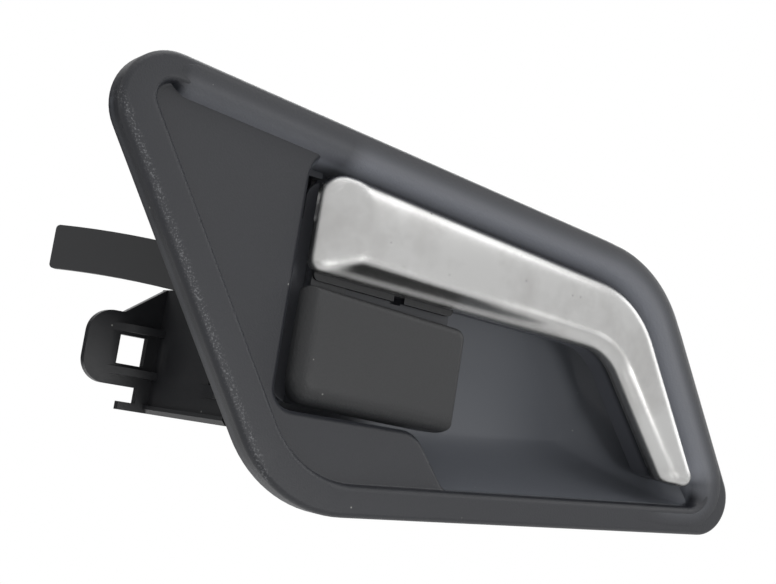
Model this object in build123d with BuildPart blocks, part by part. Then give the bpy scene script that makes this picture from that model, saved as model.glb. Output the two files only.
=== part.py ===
from build123d import *
import math
import os

# Inner door handle of a car, left hinged. Millimetres, X right, Y back into the door, Z up.
# The origin lies on the seat plane, where the bezel's rim meets the door trim.

# Bezel outline seen from the front: X and Z of the corners before rounding
BEZEL_TOP_LEFT = (-91.7, 42.5)
BEZEL_TOP_RIGHT = (53.0, 27.3)
BEZEL_BOTTOM_RIGHT = (90.3, -32.3)
BEZEL_BOTTOM_LEFT = (-37.8, -40.5)
BEZEL_ROUNDS = (10.0, 36.0, 8.5, 27.0)

# Rim and panel of the bezel
RIM_HEIGHT = 5.5
RIM_TOP_WIDTH = 5.6
RIM_RIGHT_WIDTH = 5.6
RIM_BOTTOM_WIDTH = 6.4
RIM_LEFT_WIDTH = 8.0
RIM_INNER_ROUNDS = (3.0, 24.0, 5.0, 22.0)
RIM_OUTER_EDGE = 1.3
RIM_INNER_EDGE = 1.4
PANEL_DROP = 2.5
PANEL_WALL = 2.5
LIP_ROUND = 1.2
LIP_MIDDLE = 0.36
LIP_PROUD = 0.5
LIP_COVER = 1.5
PANEL_FOOT = 0.5
SEAT_WALL = 2.2
RIM_SKIN = 2.3
CHANNEL_LAND = 1.6

# Opening in the panel, with the lobe of panel below the lever's block
OPENING_LEFT = -40.0
OPENING_GROWTH = 0.15
OPENING_SINK = 0.2
OPENING_CORNER = 6.0
OPENING_FOOT_CORNER = 4.5
LOBE_TOP = -20.5
LOBE_FOOT = 3.3
LOBE_SLOPE = 50.0
LOBE_TOP_ROUND = 7.0
LOBE_FOOT_ROUND = 4.0
LOBE_REACH = 22.0
LOBE_RELIEF = 0.8

# Finger dish
DISH_LEFT = -40.8
DISH_DEPTH = 18.5
DISH_ROUND = 18.0
DISH_WALL = 2.0
DISH_STATIONS = 6
DISH_FIRST_TURN = 30.0
DISH_LAST_TURN = 80.0

# Way through the dish's left wall for the lever's neck and the carrier's ears, and for its crank
WINDOW_LEFT = -50.0
WINDOW_RIGHT = -34.2
WINDOW_TOP = 28.6
WINDOW_BOTTOM = -21.2
WINDOW_DEPTH = 11.6
CRANK_WAY_RIGHT = -28.8
CRANK_WAY_GAP = 0.7

# Pivot
PIVOT_X = -44.0
PIVOT_Y = 5.5
PIN_RADIUS = 2.0
PIN_HEAD_RADIUS = 3.2
PIN_HEAD = 1.2
PIN_CLEARANCE = 0.05

# Bright bar of the lever, seen from the front
BAR_LEFT = -37.4
BAR_TOP_GAP = 3.95
BAR_LEG_GAP = 4.75
BAR_ROOT_WIDTH = 20.4
BAR_BEND_WIDTH = 14.8
LEG_BEND_WIDTH = 12.6
LEG_END_WIDTH = 9.8
LEG_END = -23.2
LEG_END_SLOPE = 6.0
BAR_ROUNDS = (4.5, 24.0, 2.4, 2.4, 13.0, 2.6)
BAR_FACE = -7.0
BAR_CROWN = 80.0
BAR_CROWN_BEND = 19.0
CROWN_OVERRUN = 1.5
CROWN_SHARE = 0.75
BAR_EDGE = 1.9
SMALLEST_ROUND = 0.4
BEVEL_WIDTH = 4.4
BEVEL_DEPTH = 2.8
BEVEL_BEND_EASE = 1.0
BEVEL_LEG_EASE = 2.0
FACET_BREAK = -27.0
FACET_ANGLE = 14.0
RIDGE_ROUND = 1.1
SHARP_TURN = 4.0
COVER_BACK = -2.0
COVER_WALL = 1.5
COVER_CLEARANCE = 0.12

# Black core of the lever
ARM_INSET = 0.7
ARM_BACK = 4.8
BLOCK_LEFT = -38.4
BLOCK_RIGHT = 1.0
BLOCK_TOP = 4.3
BLOCK_HEIGHT = 23.2
BLOCK_FALL = 2.4
BLOCK_BASE_FALL = 1.2
BLOCK_FACE = -5.5
BLOCK_BACK = 4.0
BLOCK_SOFT_EDGE = 4.5
BLOCK_SOFT_CORNER = 5.5
BLOCK_FIRM_EDGE = 1.6
BLOCK_CORNER = 2.5
HUB_RADIUS = 5.0
NECK_FRONT = 3.1
NECK_BACK = 7.6
NECK_STEP = -35.2
NECK_RIGHT = -27.0
NECK_FACE = -1.0
NECK_BOTTOM = -15.0
NECK_TOP = 18.0
WEB_FACE = -0.4
WEB_OVERLAP = 2.5
WEB_RIGHT = -1.0
RAIL_FACE = -1.8
RAIL_DROP = 1.3
RAIL_ROUND = 1.2
SNAP_X = -14.7
SNAP_DROP = 0.9
SNAP_WIDTH = 2.6
SNAP_HEIGHT = 1.6
NOTCH_INNER = 5.7
NOTCH_OUTER = 9.8
NOTCH_START = -12.0
NOTCH_SWEEP = 110.0
CRANK_BOTTOM = 20.0
CRANK_THICKNESS = 4.0
CRANK_X = 4.0
CRANK_Y = 14.5
CRANK_HALF_WIDTH = 2.2
CRANK_EYE = 1.3

# Return spring
SPRING_BOTTOM = -3.6
SPRING_MEAN_RADIUS = 4.0
SPRING_WIRE = 0.55
SPRING_PITCH = 1.3
SPRING_FULL_TURNS = 5
SPRING_START = 186.0
SPRING_EXIT = 278.0
SPRING_FIXED_LEG = 11.0
SPRING_MOVING_LEG = 4.6
SPRING_ROOM = 0.6

# Carrier
EAR_THICKNESS = 2.5
EAR_GAP = 0.3
UPPER_EAR = 25.5
LOWER_EAR = -18.0
EAR_RADIUS = 5.0
CARRIER_WALL = 2.0
WALL_REAR_X = -50.6
WALL_LEAN = 0.1385
WALL_FRONT = 11.0
REAR_FLANGE = 32.5
WALL_UPPER_REAR = 26.0
LEDGE_BOTTOM = -25.4
LEDGE_THICKNESS = 1.7
LEDGE_PROUD = 1.0
LEDGE_BEVEL = 0.9
LEDGE_FRONT = 2.6
LEDGE_LIP = 3.6
TAB_LEFT = -26.0
TAB_RIGHT = -14.0
TAB_FRONT = 8.0
TAB_BOTTOM = -33.4
LUG_LEFT = -66.1
LUG_TOP = -5.3
LUG_BOTTOM = -20.5
LUG_ROUND = 5.0
LUG_HOLE = 6.0
LUG_HOLE_X = -56.1
LUG_HOLE_Z = -13.0
FLANGE_LEFT = -53.5
FLANGE_RIGHT = -40.0
FLANGE_TOP = 1.0
LUG_RIB_HEIGHT = 2.0
LUG_RIB_WIDTH = 1.6
LUG_RIB_LENGTH = 10.5
LUG_RIB_RAMP = 3.5
LUG_RIB_GAP = 0.7
STRAP_WIDTH = 8.9
STRAP_ROOT_BOTTOM = -1.0
STRAP_TIP_BOTTOM = 0.3
STRAP_THICKNESS = 1.2
STRAP_ROOT_X = -55.0
STRAP_TIP = (-76.6, 32.0)
STRAP_BOW = 0.55
STRAP_CORNER = 0.9
PLATE_THICKNESS = 2.0
PLATE_TOP = 29.0
PLATE_BOTTOM = 0.0
PLATE_LEFT_TOP = -68.0
PLATE_LEFT_BOTTOM = -55.5
PLATE_RIGHT = -46.5
PLATE_SHOULDER = 20.0
STOP_X = -36.2
STOP_Y = 7.1
STOP_RADIUS = 1.5
STOP_BOTTOM = 19.5
CABLE_SLOT = 4.6

# Towers on the back of the panel and the screws driven into them
UPPER_TOWER = (-62.0, 24.0)
LOWER_TOWER = (-55.5, 13.5)
LOBE_TOWER = (-20.0, -29.3)
TOWER_RADIUS = 3.6
SCREW_RADIUS = 1.5
SCREW_LENGTH = 9.0
SCREW_HEAD_RADIUS = 3.1
SCREW_HEAD = 2.2
SCREW_HOLE = 1.9
SCREW_RECESS = 0.8

# Closing buffer
BUFFER_Y = 16.0
BUFFER_RADIUS = 2.8
BUFFER_STEM = 1.5
BUFFER_HEAD = 1.8
BUFFER_BULB = 1.2


def front_plane(depth):
    """Plane seen from the front at a depth: sketch x is X and sketch y is Z."""
    return Plane.XZ.offset(-depth)


def inset_corners(corners, insets):
    """Corners of a polygon whose sides are moved inwards; side i starts at corner i."""
    pairs = list(zip(corners, corners[1:] + corners[:1]))
    area = sum(a[0] * b[1] - b[0] * a[1] for a, b in pairs)
    turn = math.copysign(1.0, area)
    sides = []
    for (a, b), inset in zip(pairs, insets):
        along = (Vector(*b) - Vector(*a)).normalized()
        inward = Vector(-along.Y, along.X) * turn
        sides.append((Vector(*a) + inward * inset, along))
    moved = []
    for (p, d), (q, e) in zip(sides[-1:] + sides[:-1], sides):
        cross = d.X * e.Y - d.Y * e.X
        gap = q - p
        step = (gap.X * e.Y - gap.Y * e.X) / cross
        point = p + d * step
        moved.append((point.X, point.Y))
    return moved


def side_height(start, end, x):
    """Height of the straight line through two corners at a given x."""
    return start[1] + (end[1] - start[1]) * (x - start[0]) / (end[0] - start[0])


def rounded_face(corners, rounds, mode=Mode.ADD):
    """Face of the sketch in progress with a round at each corner."""
    with BuildLine(Plane.XY, mode=Mode.PRIVATE) as outline:
        FilletPolyline(*corners, radius=rounds, close=True)
    make_face(outline.edges(), mode=mode)


def sharp_edges(solid):
    """Edges of a solid where its two faces meet at more than a slight angle."""
    sharp = []
    for edge in solid.edges():
        sides = [f for f in solid.faces() if any(edge.is_same(e) for e in f.edges())]
        if len(sides) == 2:
            normals = [f.normal_at(edge @ 0.5) for f in sides]
            if normals[0].get_angle(normals[1]) > SHARP_TURN:
                sharp.append(edge)
    return sharp


# Outlines that the pieces share
bezel_corners = [BEZEL_TOP_LEFT, BEZEL_TOP_RIGHT, BEZEL_BOTTOM_RIGHT, BEZEL_BOTTOM_LEFT]
rim_widths = [RIM_TOP_WIDTH, RIM_RIGHT_WIDTH, RIM_BOTTOM_WIDTH, RIM_LEFT_WIDTH]
rim_inner = inset_corners(bezel_corners, rim_widths)
panel_face = PANEL_DROP - RIM_HEIGHT
panel_back = panel_face + PANEL_WALL

dish_edge = inset_corners(rim_inner, [-OPENING_GROWTH] * 4)
dish_top_left = (DISH_LEFT, side_height(dish_edge[0], dish_edge[1], DISH_LEFT))
dish_bottom_left = (DISH_LEFT, side_height(dish_edge[3], dish_edge[2], DISH_LEFT))
dish_corners = [dish_top_left, dish_edge[1], dish_edge[2], dish_bottom_left]

lobe_foot = (LOBE_FOOT, side_height(dish_edge[3], dish_edge[2], LOBE_FOOT))
lobe_rise = LOBE_TOP - lobe_foot[1]
lobe_shoulder = (LOBE_FOOT - lobe_rise / math.tan(math.radians(LOBE_SLOPE)), LOBE_TOP)
opening_corners = [
    (OPENING_LEFT, side_height(dish_edge[0], dish_edge[1], OPENING_LEFT)),
    dish_edge[1],
    dish_edge[2],
    lobe_foot,
    lobe_shoulder,
    (OPENING_LEFT, LOBE_TOP),
]
dish_rounds = [r + OPENING_GROWTH for r in RIM_INNER_ROUNDS]
opening_rounds = [
    OPENING_CORNER,
    dish_rounds[1],
    dish_rounds[2],
    LOBE_FOOT_ROUND,
    LOBE_TOP_ROUND,
    OPENING_FOOT_CORNER,
]


def dish_form(outset):
    """Bowl of the dish grown by outset all round, less the lobe of panel that stands in it."""
    first = math.radians(DISH_FIRST_TURN)
    last = math.radians(DISH_LAST_TURN)
    with BuildPart() as form:
        for station in range(DISH_STATIONS):
            turn = first + (last - first) * station / (DISH_STATIONS - 1)
            inset = DISH_ROUND * (math.cos(first) - math.cos(turn))
            sink = (math.sin(turn) - math.sin(first)) / (math.sin(last) - math.sin(first))
            depth = panel_face + (DISH_DEPTH + outset) * sink
            soft = [
                OPENING_CORNER + inset / 3 + outset,
                dish_rounds[1] + outset,
                dish_rounds[2] + inset / 3 + outset,
                OPENING_CORNER + inset / 3 + outset,
            ]
            with BuildSketch(front_plane(depth)):
                rounded_face(inset_corners(dish_corners, [inset - outset] * 4), soft)
        loft()
        lobe_end = side_height(dish_edge[3], dish_edge[2], LOBE_REACH) - LOBE_RELIEF
        lobe = [
            (OPENING_LEFT, LOBE_TOP),
            lobe_shoulder,
            lobe_foot,
            (LOBE_REACH, lobe_end),
            (LOBE_REACH, lobe_end - DISH_DEPTH),
            (OPENING_LEFT - DISH_DEPTH, lobe_end - DISH_DEPTH),
            (OPENING_LEFT - DISH_DEPTH, BEZEL_TOP_LEFT[1]),
            (OPENING_LEFT, BEZEL_TOP_LEFT[1]),
        ]
        lobe_rounds = [OPENING_FOOT_CORNER, LOBE_TOP_ROUND, LOBE_FOOT_ROUND, 0, 0, 0, 0, 0]
        with BuildSketch(front_plane(panel_face)):
            rounded_face(inset_corners(lobe, [outset] * len(lobe)), lobe_rounds)
        extrude(amount=-2 * DISH_DEPTH, mode=Mode.SUBTRACT)
        if outset > 0:
            split(bisect_by=front_plane(panel_back - PANEL_WALL / 2), keep=Keep.BOTTOM)
    return form.part


dish_shell = dish_form(DISH_WALL)
dish_cavity = dish_form(0.0)

tower_depths = {
    UPPER_TOWER: WALL_FRONT,
    LOWER_TOWER: WALL_FRONT,
    LOBE_TOWER: TAB_FRONT,
}

# Bezel
with BuildLine(front_plane(panel_face)) as lip:
    FilletPolyline(*opening_corners, radius=opening_rounds, close=True)
with BuildPart() as bezel:
    with BuildSketch(front_plane(0)):
        rounded_face(bezel_corners, BEZEL_ROUNDS)
    extrude(amount=RIM_HEIGHT)
    with BuildSketch(front_plane(-RIM_HEIGHT)):
        rounded_face(rim_inner, RIM_INNER_ROUNDS)
    extrude(amount=-PANEL_DROP, mode=Mode.SUBTRACT)
    rim_face = bezel.faces().sort_by(Axis.Y)[0]
    fillet(rim_face.outer_wire().edges(), RIM_OUTER_EDGE)
    rim_face = bezel.faces().filter_by(Axis.Y).sort_by(Axis.Y)[0]
    fillet(rim_face.inner_wires()[0].edges(), RIM_INNER_EDGE)
    panel = bezel.faces().filter_by(Axis.Y).sort_by(Axis.Y)[1]
    fillet(panel.edges(), PANEL_FOOT)
    with BuildSketch(front_plane(0)):
        rounded_face(inset_corners(bezel_corners, [SEAT_WALL] * 4), [r - SEAT_WALL for r in BEZEL_ROUNDS])
    extrude(amount=-panel_back, mode=Mode.SUBTRACT)
    with BuildSketch(front_plane(0)):
        rounded_face(inset_corners(bezel_corners, [SEAT_WALL] * 4), [r - SEAT_WALL for r in BEZEL_ROUNDS])
        land = inset_corners(bezel_corners, [w - CHANNEL_LAND for w in rim_widths])
        rounded_face(land, [r + CHANNEL_LAND for r in RIM_INNER_ROUNDS], mode=Mode.SUBTRACT)
    extrude(amount=RIM_HEIGHT - RIM_SKIN, mode=Mode.SUBTRACT)
    with BuildSketch(Plane(origin=lip.line @ 0, x_dir=(0, 1, 0), z_dir=lip.line % 0)):
        with BuildLine():
            soft = LIP_ROUND * LIP_MIDDLE
            curve = ThreePointArc((0, LIP_ROUND), (soft, soft), (LIP_ROUND, 0))
            Polyline(
                curve @ 1,
                (LIP_ROUND, -LIP_PROUD),
                (-LIP_PROUD, -LIP_PROUD),
                (-LIP_PROUD, LIP_ROUND),
                curve @ 0,
            )
        make_face()
    sweep(path=lip.line, mode=Mode.SUBTRACT)
    with BuildSketch(front_plane(panel_face + LIP_ROUND + LIP_PROUD)):
        cover = inset_corners(bezel_corners, [w - LIP_COVER for w in rim_widths])
        rounded_face(cover, [r + LIP_COVER for r in RIM_INNER_ROUNDS])
        rounded_face(rim_inner, RIM_INNER_ROUNDS, mode=Mode.SUBTRACT)
    extrude(amount=LIP_ROUND + 2 * LIP_PROUD)
    with BuildSketch(front_plane(panel_face + OPENING_SINK)):
        rounded_face(opening_corners, opening_rounds)
    extrude(amount=PANEL_DROP + OPENING_SINK + LIP_PROUD, mode=Mode.SUBTRACT)
    add(dish_shell)
    add(dish_cavity, mode=Mode.SUBTRACT)
    with BuildSketch(front_plane(panel_back)):
        with Locations(((WINDOW_LEFT + WINDOW_RIGHT) / 2, (WINDOW_BOTTOM + WINDOW_TOP) / 2)):
            Rectangle(WINDOW_RIGHT - WINDOW_LEFT, WINDOW_TOP - WINDOW_BOTTOM)
    extrude(amount=panel_back - WINDOW_DEPTH, mode=Mode.SUBTRACT)
    with BuildSketch(front_plane(ARM_BACK)):
        with Locations(((WINDOW_LEFT + CRANK_WAY_RIGHT) / 2, CRANK_BOTTOM + CRANK_THICKNESS / 2)):
            Rectangle(CRANK_WAY_RIGHT - WINDOW_LEFT, CRANK_THICKNESS + 2 * CRANK_WAY_GAP)
    extrude(amount=-2 * DISH_DEPTH, mode=Mode.SUBTRACT)
    for place, depth in tower_depths.items():
        with BuildSketch(front_plane(panel_back)):
            with Locations(place):
                Circle(TOWER_RADIUS)
        extrude(amount=panel_back - depth)
        with BuildSketch(front_plane(depth)):
            with Locations(place):
                Circle(SCREW_RADIUS)
        extrude(amount=depth - panel_back, mode=Mode.SUBTRACT)
bezel.part.label = "bezel"

# Outline of the bright bar, kept parallel to the dish's upper and right edges
bar_outer = inset_corners(dish_edge, [BAR_TOP_GAP, BAR_LEG_GAP, 0, 0])
bar_inner = inset_corners(bar_outer, [BAR_BEND_WIDTH, LEG_BEND_WIDTH, 0, 0])
bar_top_left = (BAR_LEFT, side_height(bar_outer[0], bar_outer[1], BAR_LEFT))
leg_lean = (bar_outer[2][0] - bar_outer[1][0]) / (bar_outer[2][1] - bar_outer[1][1])
leg_outer = (bar_outer[1][0] + leg_lean * (LEG_END - bar_outer[1][1]), LEG_END)
leg_end_turn = math.radians(LEG_END_SLOPE)
leg_span = LEG_END_WIDTH / math.cos(math.atan(leg_lean) + leg_end_turn)
leg_inner = (
    leg_outer[0] - leg_span * math.cos(leg_end_turn),
    leg_outer[1] + leg_span * math.sin(leg_end_turn),
)
bar_corners = [
    bar_top_left,
    bar_outer[1],
    leg_outer,
    leg_inner,
    bar_inner[1],
    (BAR_LEFT, bar_top_left[1] - BAR_ROOT_WIDTH),
]

# Line along the middle of the bar that its crown follows, run on past both ends
bar_middle = inset_corners(bar_outer, [BAR_BEND_WIDTH / 2, LEG_BEND_WIDTH / 2, 0, 0])
bend_middle = Vector(*bar_middle[1])
root_middle = Vector(BAR_LEFT, bar_top_left[1] - BAR_ROOT_WIDTH / 2)
leg_middle = (Vector(*leg_outer) + Vector(*leg_inner)) * 0.5
crown_root = bend_middle + (root_middle - bend_middle) * CROWN_OVERRUN
crown_leg = bend_middle + (leg_middle - bend_middle) * CROWN_OVERRUN
crown_line = [(point.X, point.Y) for point in (crown_root, bend_middle, crown_leg)]

# Line near the bar's inner edge that its bevel follows, easing away from it down the leg
inner_bend = Vector(*bar_corners[4]) - Vector(BEVEL_BEND_EASE, BEVEL_BEND_EASE)
ridge_root = inner_bend + (Vector(*bar_corners[5]) - inner_bend) * CROWN_OVERRUN
ridge_leg = inner_bend + (Vector(*leg_inner) - Vector(BEVEL_LEG_EASE, 0) - inner_bend) * CROWN_OVERRUN
ridge_line = [(point.X, point.Y) for point in (ridge_root, inner_bend, ridge_leg)]


def bar_form(inset, skin, back, edge):
    """Crowned bar with a bevelled inner edge and a facet on its left end.

    The sides are moved in by inset, the face is moved back by skin and the front edges are
    rounded when edge is more than nothing.
    """
    face = BAR_FACE + skin
    half = BAR_CROWN_BEND * CROWN_SHARE
    drop = BAR_CROWN - math.sqrt(BAR_CROWN**2 - half**2)
    with BuildLine(front_plane(face)) as path:
        FilletPolyline(*crown_line, radius=BAR_CROWN_BEND)
    with BuildLine(front_plane(face)) as rail:
        FilletPolyline(*ridge_line, radius=BAR_ROUNDS[4])
    section = Plane(origin=path.line @ 0, x_dir=(0, -1, 0), z_dir=path.line % 0)
    with BuildPart() as form:
        with BuildSketch(section):
            with BuildLine():
                crown = ThreePointArc((-drop, -half), (0, 0), (-drop, half))
                Polyline(crown @ 1, (face - back, half), (face - back, -half), crown @ 0)
            make_face()
        sweep(path=path.line)
        with BuildSketch(front_plane(back)):
            rounds = [max(r - inset, SMALLEST_ROUND) for r in BAR_ROUNDS]
            rounds[4] = BAR_ROUNDS[4] + inset
            rounded_face(inset_corners(bar_corners, [inset] * 6), rounds)
        extrude(amount=2 * BAR_ROOT_WIDTH, mode=Mode.INTERSECT)
        if edge > 0:
            sides = [f for f in form.faces() if abs(f.normal_at().Y) < 0.001]
            brim = [e for f in sides for e in f.edges() if abs((e % 0.5).Y) < 0.9]
            fillet([e for e in brim if (e @ 0.5).Y < back - 0.01], edge)
        with BuildSketch(Plane(origin=rail.line @ 0, x_dir=(0, -1, 0), z_dir=rail.line % 0)):
            with BuildLine():
                Polyline(
                    (-2 * BEVEL_DEPTH, BEVEL_WIDTH),
                    (BEVEL_DEPTH, -2 * BEVEL_WIDTH),
                    (3 * BEVEL_DEPTH, -2 * BEVEL_WIDTH),
                    (3 * BEVEL_DEPTH, BEVEL_WIDTH),
                    close=True,
                )
            make_face()
        sweep(path=rail.line, mode=Mode.SUBTRACT)
        lean = math.radians(FACET_ANGLE)
        facet = Plane(
            origin=(FACET_BREAK, face, 0),
            x_dir=(0, 0, 1),
            z_dir=(-math.sin(lean), -math.cos(lean), 0),
        )
        split(bisect_by=facet, keep=Keep.BOTTOM)
        if edge > 0:
            fillet([e for e in sharp_edges(form.part) if (e @ 0.5).Y < back - 0.05], RIDGE_ROUND)
    return form.part


bar_skin = bar_form(0.0, 0.0, COVER_BACK, BAR_EDGE)
bar_hollow = bar_form(COVER_WALL, COVER_WALL, COVER_BACK, 0.0)
bar_plug = bar_form(
    COVER_WALL + COVER_CLEARANCE, COVER_WALL + COVER_CLEARANCE, COVER_BACK, 0.0
)

# Bright cover of the lever
with BuildPart() as handle_cover:
    add(bar_skin)
    add(bar_hollow, mode=Mode.SUBTRACT)
handle_cover.part.label = "handle_cover"

# Textured block beside the hinge, firm edged above and on the right, soft on the left and below
block_bottom = BLOCK_TOP - BLOCK_HEIGHT
block_sides = [
    (BLOCK_LEFT, BLOCK_TOP),
    (BLOCK_RIGHT, BLOCK_TOP - BLOCK_FALL),
    (BLOCK_RIGHT, block_bottom - BLOCK_BASE_FALL),
    (BLOCK_LEFT, block_bottom),
]
with BuildPart() as block_soft:
    with BuildSketch(front_plane(BLOCK_BACK)):
        grown = inset_corners(block_sides, [-BLOCK_HEIGHT, -BLOCK_HEIGHT, 0, 0])
        rounded_face(grown, [BLOCK_SOFT_CORNER] * 4)
    extrude(amount=BLOCK_BACK - BLOCK_FACE)
    soft_ring = block_soft.faces().sort_by(Axis.Y)[0].edges()
    fillet(soft_ring, BLOCK_SOFT_EDGE)

with BuildPart() as block_form:
    with BuildSketch(front_plane(BLOCK_BACK)):
        rounded_face(block_sides, [BLOCK_CORNER, BLOCK_CORNER, BLOCK_CORNER, BLOCK_SOFT_CORNER])
    extrude(amount=BLOCK_BACK - BLOCK_FACE)
    fillet(block_form.faces().sort_by(Axis.Y)[0].edges(), BLOCK_FIRM_EDGE)
    add(block_soft.part, mode=Mode.INTERSECT)

# Black core of the lever
hub_bottom = LOWER_EAR + EAR_GAP
hub_top = UPPER_EAR - EAR_GAP
spring_height = SPRING_PITCH * (SPRING_FULL_TURNS + (SPRING_EXIT - SPRING_START) / 360)
spring_top = SPRING_BOTTOM + spring_height
pivot = (PIVOT_X, PIVOT_Y)
crank_tip = (PIVOT_X + CRANK_X, PIVOT_Y + CRANK_Y)

# Web that joins the block to the bar, and the rail along its top below the bright cover
bar_foot = [
    side_height(bar_corners[5], bar_corners[4], NECK_STEP),
    side_height(bar_corners[5], bar_corners[4], WEB_RIGHT),
]
web_corners = [
    (NECK_STEP, bar_foot[0] + WEB_OVERLAP),
    (WEB_RIGHT, bar_foot[1] + WEB_OVERLAP),
    (WEB_RIGHT, BLOCK_TOP - BLOCK_FALL - WEB_OVERLAP),
    (NECK_STEP, BLOCK_TOP - WEB_OVERLAP),
]
rail_corners = [
    (NECK_STEP, bar_foot[0] + WEB_OVERLAP),
    (WEB_RIGHT, bar_foot[1] + WEB_OVERLAP),
    (WEB_RIGHT, bar_foot[1] - RAIL_DROP),
    (NECK_STEP, bar_foot[0] - RAIL_DROP),
]
with BuildPart() as lever_core:
    with BuildSketch(front_plane(ARM_BACK)):
        rounds = [max(r - ARM_INSET, SMALLEST_ROUND) for r in BAR_ROUNDS]
        rounds[4] = BAR_ROUNDS[4] + ARM_INSET
        rounded_face(inset_corners(bar_corners, [ARM_INSET] * 6), rounds)
    extrude(amount=ARM_BACK - COVER_BACK)
    add(bar_plug)
    add(block_form.part)
    with BuildSketch(front_plane(ARM_BACK)):
        rounded_face(web_corners, [RAIL_ROUND] * 4)
    extrude(amount=ARM_BACK - WEB_FACE)
    with BuildSketch(front_plane(ARM_BACK)):
        rounded_face(rail_corners, [RAIL_ROUND] * 4)
    extrude(amount=ARM_BACK - RAIL_FACE)
    with BuildSketch(front_plane(RAIL_FACE)):
        with Locations((SNAP_X, side_height(bar_corners[5], bar_corners[4], SNAP_X) - SNAP_DROP)):
            Rectangle(SNAP_WIDTH, SNAP_HEIGHT)
    extrude(amount=RAIL_FACE - ARM_BACK / 2, mode=Mode.SUBTRACT)
    with BuildSketch(Plane.XY.offset(NECK_BOTTOM)):
        with BuildLine():
            Polyline(
                (PIVOT_X, NECK_FRONT),
                (NECK_STEP, NECK_FRONT),
                (NECK_STEP, NECK_FACE),
                (NECK_RIGHT, NECK_FACE),
                (NECK_RIGHT, NECK_BACK),
                (PIVOT_X, NECK_BACK),
                close=True,
            )
        make_face()
    extrude(amount=NECK_TOP - NECK_BOTTOM)
    with BuildSketch(Plane.XY.offset(hub_bottom)):
        with Locations(pivot):
            Circle(HUB_RADIUS)
    extrude(amount=hub_top - hub_bottom)
    with BuildSketch(Plane.XY.offset(CRANK_BOTTOM)):
        crank_middle = ((pivot[0] + crank_tip[0]) / 2, (pivot[1] + crank_tip[1]) / 2)
        crank_turn = math.degrees(math.atan2(CRANK_Y, CRANK_X))
        with Locations(Location(crank_middle, crank_turn)):
            SlotCenterToCenter(math.hypot(CRANK_X, CRANK_Y), 2 * CRANK_HALF_WIDTH)
        with Locations(crank_tip):
            Circle(CRANK_EYE, mode=Mode.SUBTRACT)
    extrude(amount=CRANK_THICKNESS)
    notch_room = hub_top - hub_bottom + 4 * EAR_THICKNESS
    notch_turn = math.radians(NOTCH_START)
    notch_plane = Plane(
        origin=(PIVOT_X, PIVOT_Y, (hub_bottom + hub_top) / 2),
        x_dir=(math.cos(notch_turn), math.sin(notch_turn), 0),
        z_dir=(math.sin(notch_turn), -math.cos(notch_turn), 0),
    )
    with BuildSketch(notch_plane):
        with Locations(((NOTCH_INNER + NOTCH_OUTER) / 2, 0)):
            Rectangle(NOTCH_OUTER - NOTCH_INNER, notch_room)
    notch_axis = Axis((PIVOT_X, PIVOT_Y, 0), (0, 0, -1))
    revolve(axis=notch_axis, revolution_arc=NOTCH_SWEEP, mode=Mode.SUBTRACT)
    with Locations((PIVOT_X, PIVOT_Y, (SPRING_BOTTOM + spring_top) / 2)):
        spring_space = spring_top - SPRING_BOTTOM + 2 * SPRING_WIRE + 2 * SPRING_ROOM
        Cylinder(HUB_RADIUS + SPRING_ROOM, spring_space, mode=Mode.SUBTRACT)
    with Locations((PIVOT_X, PIVOT_Y, (hub_bottom + hub_top) / 2)):
        Cylinder(PIN_RADIUS + PIN_CLEARANCE, hub_top - hub_bottom, mode=Mode.SUBTRACT)
lever_core.part.label = "lever_core"


def wall_x(depth):
    """X of the carrier's leaning side wall, outer face, at a depth."""
    return WALL_REAR_X + (REAR_FLANGE - depth) * WALL_LEAN


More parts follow.
